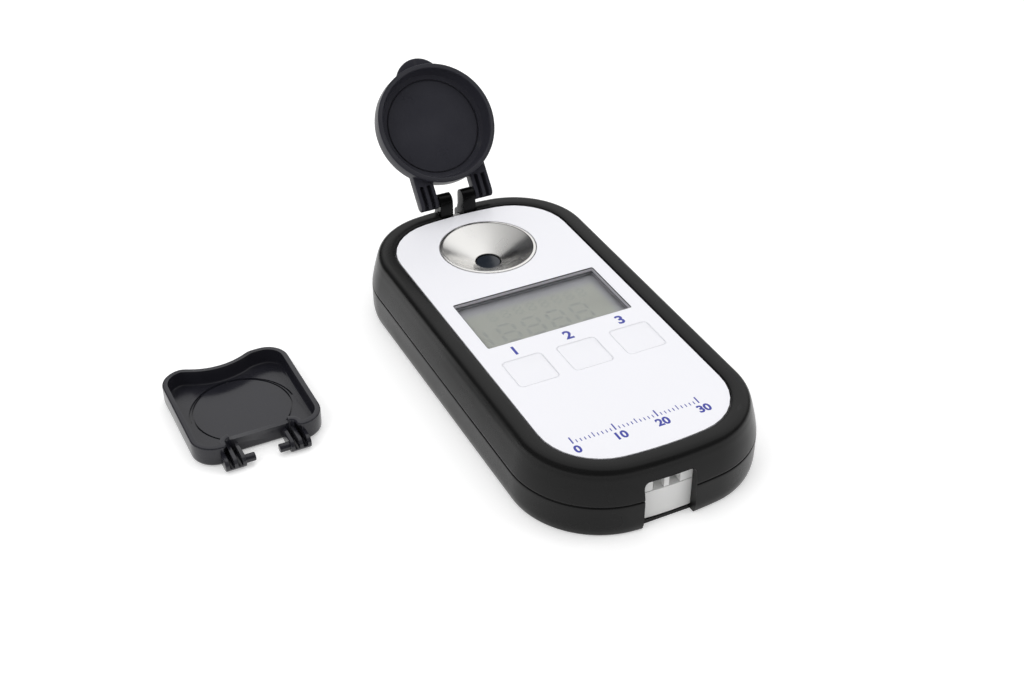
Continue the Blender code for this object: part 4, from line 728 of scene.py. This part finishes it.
lug_view = [(51.95, 14.45)]
for step in range(25):
    angle = math.pi - math.pi * step / 24
    lug_view.append((HINGE_Y + LUG_RADIUS * math.cos(angle), HINGE_Z + LUG_RADIUS * math.sin(angle)))
lug_view += smooth_line(((55.85, 17.225), (56.48, 15.62), (57.19, 15.06), (57.74, 14.53), (57.95, 13.78)), 5)
lug_view += [(57.95, 7.6), (55.75, 7.6), (55.75, 14.45)]
lugs = drawn_plate("lug_bracket", lug_view, -4.9, 4.9)
carve(lugs, block("lug_gap", (-1.45, 50.9, 11.4), (1.45, BORE_END, 23.0)))
for way in (-1, 1):
    low, high = sorted((way * 2.55, way * 5.9))
    carve(lugs, peg("pin_bore", 1.25, low, high, HINGE_Y, HINGE_Z))
    for radius, start in ((0.95, 54.7), (1.75, 56.75)):
        clear_choice()
        bpy.ops.mesh.primitive_cylinder_add(vertices=32, radius=radius * MM, depth=(BORE_END - start) * MM,
                                            location=(way * SCREW_X * MM, (start + BORE_END) / 2 * MM, SCREW_Z * MM),
                                            rotation=(math.pi / 2, 0, 0))
        bore = bpy.context.object
        bpy.ops.object.transform_apply(location=True, rotation=True, scale=True)
        carve(lugs, bore)
work_on(lugs, "BEVEL", width=0.28 * MM, segments=3, limit_method="ANGLE", angle_limit=math.radians(50))
soft_shade(lugs, 34)
lug_black = finish_of("lug_black", (0.002, 0.002, 0.002), 0.26, drift=0.12, drift_size=6, grain=0.08,
                      grain_depth=0.002, uneven=0.05, wear=(0.01, 0.01, 0.01), shine=0.14)
dress(lugs, lug_black, "instrument", "black_plastic", "hinge_bracket")


# The round lid: a turned black cap with a rounded shoulder, a recessed inner disc with a groove round it, a thumb tab
# and two ribbed arms whose pin stubs snap into the lugs. It is made shut, about its hinge, and then swung open.
ARM = 19.47
LID_RADIUS = 15.6
LID_OPEN = math.radians(130.6)
TAB_RADIUS = 6.3
TAB_REACH = 2.6


def arc_spots(x, z, radius, start, end, steps):
    """Spots on an arc in a side view, angles in degrees."""
    return [(x + radius * math.cos(math.radians(start + (end - start) * k / steps)),
             z + radius * math.sin(math.radians(start + (end - start) * k / steps))) for k in range(steps + 1)]


def hinge_arms(owner):
    """Joins two ribbed arms with their pin stubs to a lid that is shut about its hinge."""
    for way in (-1, 1):
        side = [(-8.9, -1.6)] + arc_spots(0, 0, 1.6, -90, 90, 18) + [(-8.9, 1.42)]
        low, high = sorted((way * 5.15, way * 10.0))
        arm = drawn_plate("arm", side, low, high)
        work_on(arm, "BEVEL", width=0.25 * MM, segments=3, limit_method="ANGLE", angle_limit=math.radians(50))
        carve(owner, arm, operation="UNION")
    for way in (-1, 1):
        for start in (6.05, 7.975):
            low, high = sorted((way * start, way * (start + 1.125)))
            carve(owner, block("channel", (low, -4.6, -3.0), (high, 3.0, 0.4), 0.3, 3))
        low, high = sorted((way * 2.8, way * 5.65))
        carve(owner, peg("stub", 1.0, low, high, 0, 0, edge=0.2), operation="UNION")


cap_spots = [(0.0, 1.6)] + arc_spots(14.0, 0.0, 1.6, 90, 0, 9) + arc_spots(15.3, -3.25, 0.3, 0, -90, 5) + [(0.0, -3.55)]
lid = turned_piece("lid_cap", cap_spots, -ARM, closed=False)
tab_spots = [(0.0, 1.1)] + arc_spots(5.9, 0.7, 0.4, 90, 0, 4) + arc_spots(5.9, 0.0, 0.4, 0, -90, 4) + [(0.0, -0.4)]
tab = turned_piece("lid_tab", tab_spots, -(ARM + LID_RADIUS + TAB_REACH - TAB_RADIUS), 64, closed=False)
carve(lid, tab, operation="UNION")
hinge_arms(lid)
hollow_spots = [(0.0, 0.25), (11.93, 0.25), (12.00, 0.30), (12.00, 0.62), (12.05, 0.65), (12.35, 0.65), (12.40, 0.62),
                (12.40, 0.0), (12.45, -0.05), (13.30, -0.05), (13.50, -0.14), (13.60, -0.36), (14.38, -3.20)]
hollow_spots += arc_spots(14.68, -3.25, 0.3, 180, 270, 5) + [(14.75, -4.6), (0.0, -4.6)]
carve(lid, turned_piece("lid_hollow", hollow_spots, -ARM, closed=False))
take(lid)
lid.rotation_euler.x = -LID_OPEN
lid.location = (0, HINGE_Y * MM, HINGE_Z * MM)
bpy.ops.object.transform_apply(location=True, rotation=True, scale=True)
soft_shade(lid, 30)


def add_rings(finish, spot, tilt, pitch, depth, reach):
    """Adds the fine rings of a turned mould to a finish, about an axis through a spot, out to a reach."""
    nodes, links = finish.node_tree.nodes, finish.node_tree.links
    place = nodes.new("ShaderNodeTexCoord")
    local = nodes.new("ShaderNodeMapping")
    local.vector_type = "TEXTURE"
    local.inputs["Location"].default_value = [c * MM for c in spot]
    local.inputs["Rotation"].default_value = (tilt, 0, 0)
    flat = nodes.new("ShaderNodeVectorMath")
    flat.operation = "MULTIPLY"
    flat.inputs[1].default_value = (1, 1, 0)
    radius = nodes.new("ShaderNodeVectorMath")
    radius.operation = "LENGTH"
    lines = nodes.new("ShaderNodeTexNoise")
    lines.noise_dimensions = "1D"
    lines.inputs["Scale"].default_value = 1 / (pitch * MM)
    lines.inputs["Detail"].default_value = 4
    near = nodes.new("ShaderNodeMath")
    near.operation = "LESS_THAN"
    near.inputs[1].default_value = reach * MM
    shown = nodes.new("ShaderNodeMath")
    shown.operation = "MULTIPLY"
    bump = nodes.new("ShaderNodeBump")
    bump.inputs["Strength"].default_value = 0.7
    bump.inputs["Distance"].default_value = depth * MM
    shader = nodes["Principled BSDF"]
    grain_bump = shader.inputs["Normal"].links[0].from_node
    links.new(place.outputs["Object"], local.inputs["Vector"])
    links.new(local.outputs["Vector"], flat.inputs[0])
    links.new(flat.outputs["Vector"], radius.inputs[0])
    links.new(radius.outputs["Value"], lines.inputs["W"])
    links.new(radius.outputs["Value"], near.inputs[0])
    links.new(lines.outputs["Fac"], shown.inputs[0])
    links.new(near.outputs[0], shown.inputs[1])
    links.new(shown.outputs[0], bump.inputs["Height"])
    links.new(grain_bump.outputs["Normal"], bump.inputs["Normal"])
    links.new(bump.outputs["Normal"], shader.inputs["Normal"])


lid_black = finish_of("lid_black", (0.028, 0.028, 0.036), 0.32, drift=0.15, drift_size=8, grain=0.08,
                      grain_depth=0.003, uneven=0.06, wear=(0.045, 0.045, 0.050), shine=0.14)
add_rings(lid_black, (0, HINGE_Y - ARM * math.cos(LID_OPEN), HINGE_Z + ARM * math.sin(LID_OPEN)), -LID_OPEN,
          pitch=0.55, depth=0.03, reach=11.9)
dress(lid, lid_black, "lid", "black_plastic", "lid")


# The second lid: a square tray of the same black plastic, taken off and laid on its back. It has a hollow for the thumb
# in one side, a bay with two ribbed arms in the other, and a round line with a crescent beside it in its floor.
TRAY_HALF = 15.2
TRAY_NEAR = -1.8
TRAY_FAR = -33.8
TRAY_BOTTOM = -3.55
TRAY_TOP = 1.6
TRAY_FLOOR = 0.25
TRAY_SPOT = (-71.1, 0.3, 1.6)


def rounded_path(corners, steps=10):
    """A closed path through corners given as x, y and a rounding, as spots in millimetres."""
    spots = []
    for i, (x, y, radius) in enumerate(corners):
        ahead, behind = corners[(i + 1) % len(corners)], corners[i - 1]
        if radius <= 0:
            spots.append((x, y))
            continue
        to_prev = Vector((behind[0] - x, behind[1] - y)).normalized()
        to_next = Vector((ahead[0] - x, ahead[1] - y)).normalized()
        half = to_prev.angle(to_next) / 2
        centre = Vector((x, y)) + (to_prev + to_next).normalized() * radius / math.sin(half)
        first = Vector((x, y)) + to_prev * radius / math.tan(half) - centre
        last = Vector((x, y)) + to_next * radius / math.tan(half) - centre
        sweep = first.angle_signed(last)
        for k in range(steps + 1):
            turned = first.copy()
            turned.rotate(Matrix.Rotation(-sweep * k / steps, 2))
            spots.append(tuple(centre + turned))
    return spots


def tray_plan(name, inset, low, high):
    """The tray's outline, drawn in by an inset and drawn out from one height to another, in millimetres."""
    side, near, far = TRAY_HALF - inset, TRAY_NEAR - inset, TRAY_FAR + inset
    bay, lip = 8.2 + inset, max(1.2 - inset, 0)
    corners = [(side, near, 5.5 - inset), (bay, near, lip), (bay, near - 2.7, 1.2 + inset),
               (-bay, near - 2.7, 1.2 + inset), (-bay, near, lip), (-side, near, 5.5 - inset),
               (-side, far, 5.5 - inset), (side, far, 5.5 - inset)]
    spots = rounded_path(corners)
    after = len(spots) - 11
    thumb = []
    for k in range(49):
        x = -9.3 + 18.6 * k / 48
        rise = math.sqrt((14.0 + inset) ** 2 - (x + 1.0) ** 2) - 11.6 - inset
        thumb.append((x, far + 0.30 * math.log(1 + math.exp(rise / 0.30))))
    spots = spots[:after] + thumb + spots[after:]
    piece = draw_chain(name, [(x * MM, y * MM, low * MM) for x, y in spots], closed=True)
    bpy.ops.mesh.select_all(action="SELECT")
    bpy.ops.mesh.edge_face_add()
    bpy.ops.mesh.extrude_region_move(TRANSFORM_OT_translate={"value": (0, 0, (high - low) * MM)})
    close_up()
    return piece


def round_rim(piece, height, rounding, steps):
    """Rounds the edges that lie at one height, all in millimetres."""
    take(piece)
    bpy.ops.object.mode_set(mode="EDIT")
    choose("edges", lambda middle, edge: all(abs(v.co.z - height * MM) < 0.01 * MM for v in edge.verts))
    bpy.ops.mesh.bevel(offset=rounding * MM, segments=steps, affect="EDGES")
    bpy.ops.object.mode_set(mode="OBJECT")
    return piece


tray = tray_plan("tray", 0, TRAY_BOTTOM, TRAY_TOP)
round_rim(tray, TRAY_BOTTOM, 0.35, 3)
round_rim(tray, TRAY_TOP, 1.1, 6)
hinge_arms(tray)
carve(tray, round_rim(tray_plan("tray_hollow", 1.25, -4.6, TRAY_FLOOR), TRAY_FLOOR, 0.4, 3))
ring = turned_piece("tray_ring", ((11.15, 0.65), (11.55, 0.65), (11.55, -0.2), (11.15, -0.2)), -17.5, 128)
crescent = turned_piece("tray_crescent", ((11.95, 0.65), (12.35, 0.65), (12.35, -0.2), (11.95, -0.2)), -17.0, 128)
carve(crescent, block("crescent_trim", (-14, -17.6, -1), (14, -2, 2)))
carve(tray, ring, crescent, block("low_wall", (-6.95, -6.2, -4.6), (6.95, -4.0, -2.65), 0.2, 2))
take(tray)
tray.rotation_euler.x = math.pi
tray.location = [c * MM for c in TRAY_SPOT]
bpy.ops.object.transform_apply(location=True, rotation=True, scale=True)
soft_shade(tray, 30)
tray_black = finish_of("tray_black", (0.016, 0.016, 0.021), 0.19, drift=0.15, drift_size=8, grain=0.08,
                       grain_depth=0.003, uneven=0.06, wear=(0.060, 0.060, 0.065), shine=0.40)
dress(tray, tray_black, "spare_lid", "black_plastic", "spare_lid")


# Screws of plated steel: four close the housing from below, four hold the board, two the optics and two the bracket.
screw_steel = turned_steel("screw_steel", (0.60, 0.60, 0.58), 0.26, (0, 0), 0.08)
for node in sorted(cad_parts):
    if "screw" in node:
        dress(moulded_copy(node, "fixing_" + node, 0.06), screw_steel, "instrument", "steel", node)


# Everything inside: snap domes, keypad circuit, display frame and contacts, board, optics, cell and its contacts.
# These are the solids of the frame with their own finishes.
spring_steel = finish_of("spring_steel", (0.66, 0.66, 0.66), 0.24, metallic=1.0, drift=0.05, drift_size=4)
amber_film = finish_of("amber_film", (0.60, 0.32, 0.10), 0.40, drift=0.12, drift_size=3)
seal_rubber = finish_of("seal_rubber", (0.022, 0.022, 0.024), 0.5, drift=0.15, drift_size=4)
inner_black = finish_of("inner_black", (0.028, 0.028, 0.032), 0.45, drift=0.12, drift_size=6)
chip_black = finish_of("chip_black", (0.03, 0.03, 0.03), 0.5, drift=0.1, drift_size=2)
board_green = finish_of("board_green", (0.05, 0.22, 0.10), 0.38, drift=0.18, drift_size=2.5, coat=0.3)
lamp_resin = finish_of("lamp_resin", (0.92, 0.80, 0.35), 0.12, drift=0.05, drift_size=2)
lamp_resin.node_tree.nodes["Principled BSDF"].inputs["Transmission Weight"].default_value = 0.8
cell_jacket = finish_of("cell_jacket", (0.12, 0.13, 0.16), 0.30, metallic=0.4, drift=0.08, drift_size=8)
for finish, members in (
        (spring_steel, ("snap_dome_left", "snap_dome_centre", "snap_dome_right", "battery_contact",
                        "battery_spring")),
        (amber_film, ("keypad_circuit",)),
        (seal_rubber, ("lcd_contact_near", "lcd_contact_far", "prism_seal")),
        (inner_black, ("lcd_frame", "optics_block")),
        (chip_black, ("processor", "line_sensor")),
        (board_green, ("circuit_board",)),
        (lamp_resin, ("lamp",)),
        (cell_jacket, ("aaa_cell",))):
    for node in members:
        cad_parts[node].data.materials.clear()
        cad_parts[node].data.materials.append(finish)
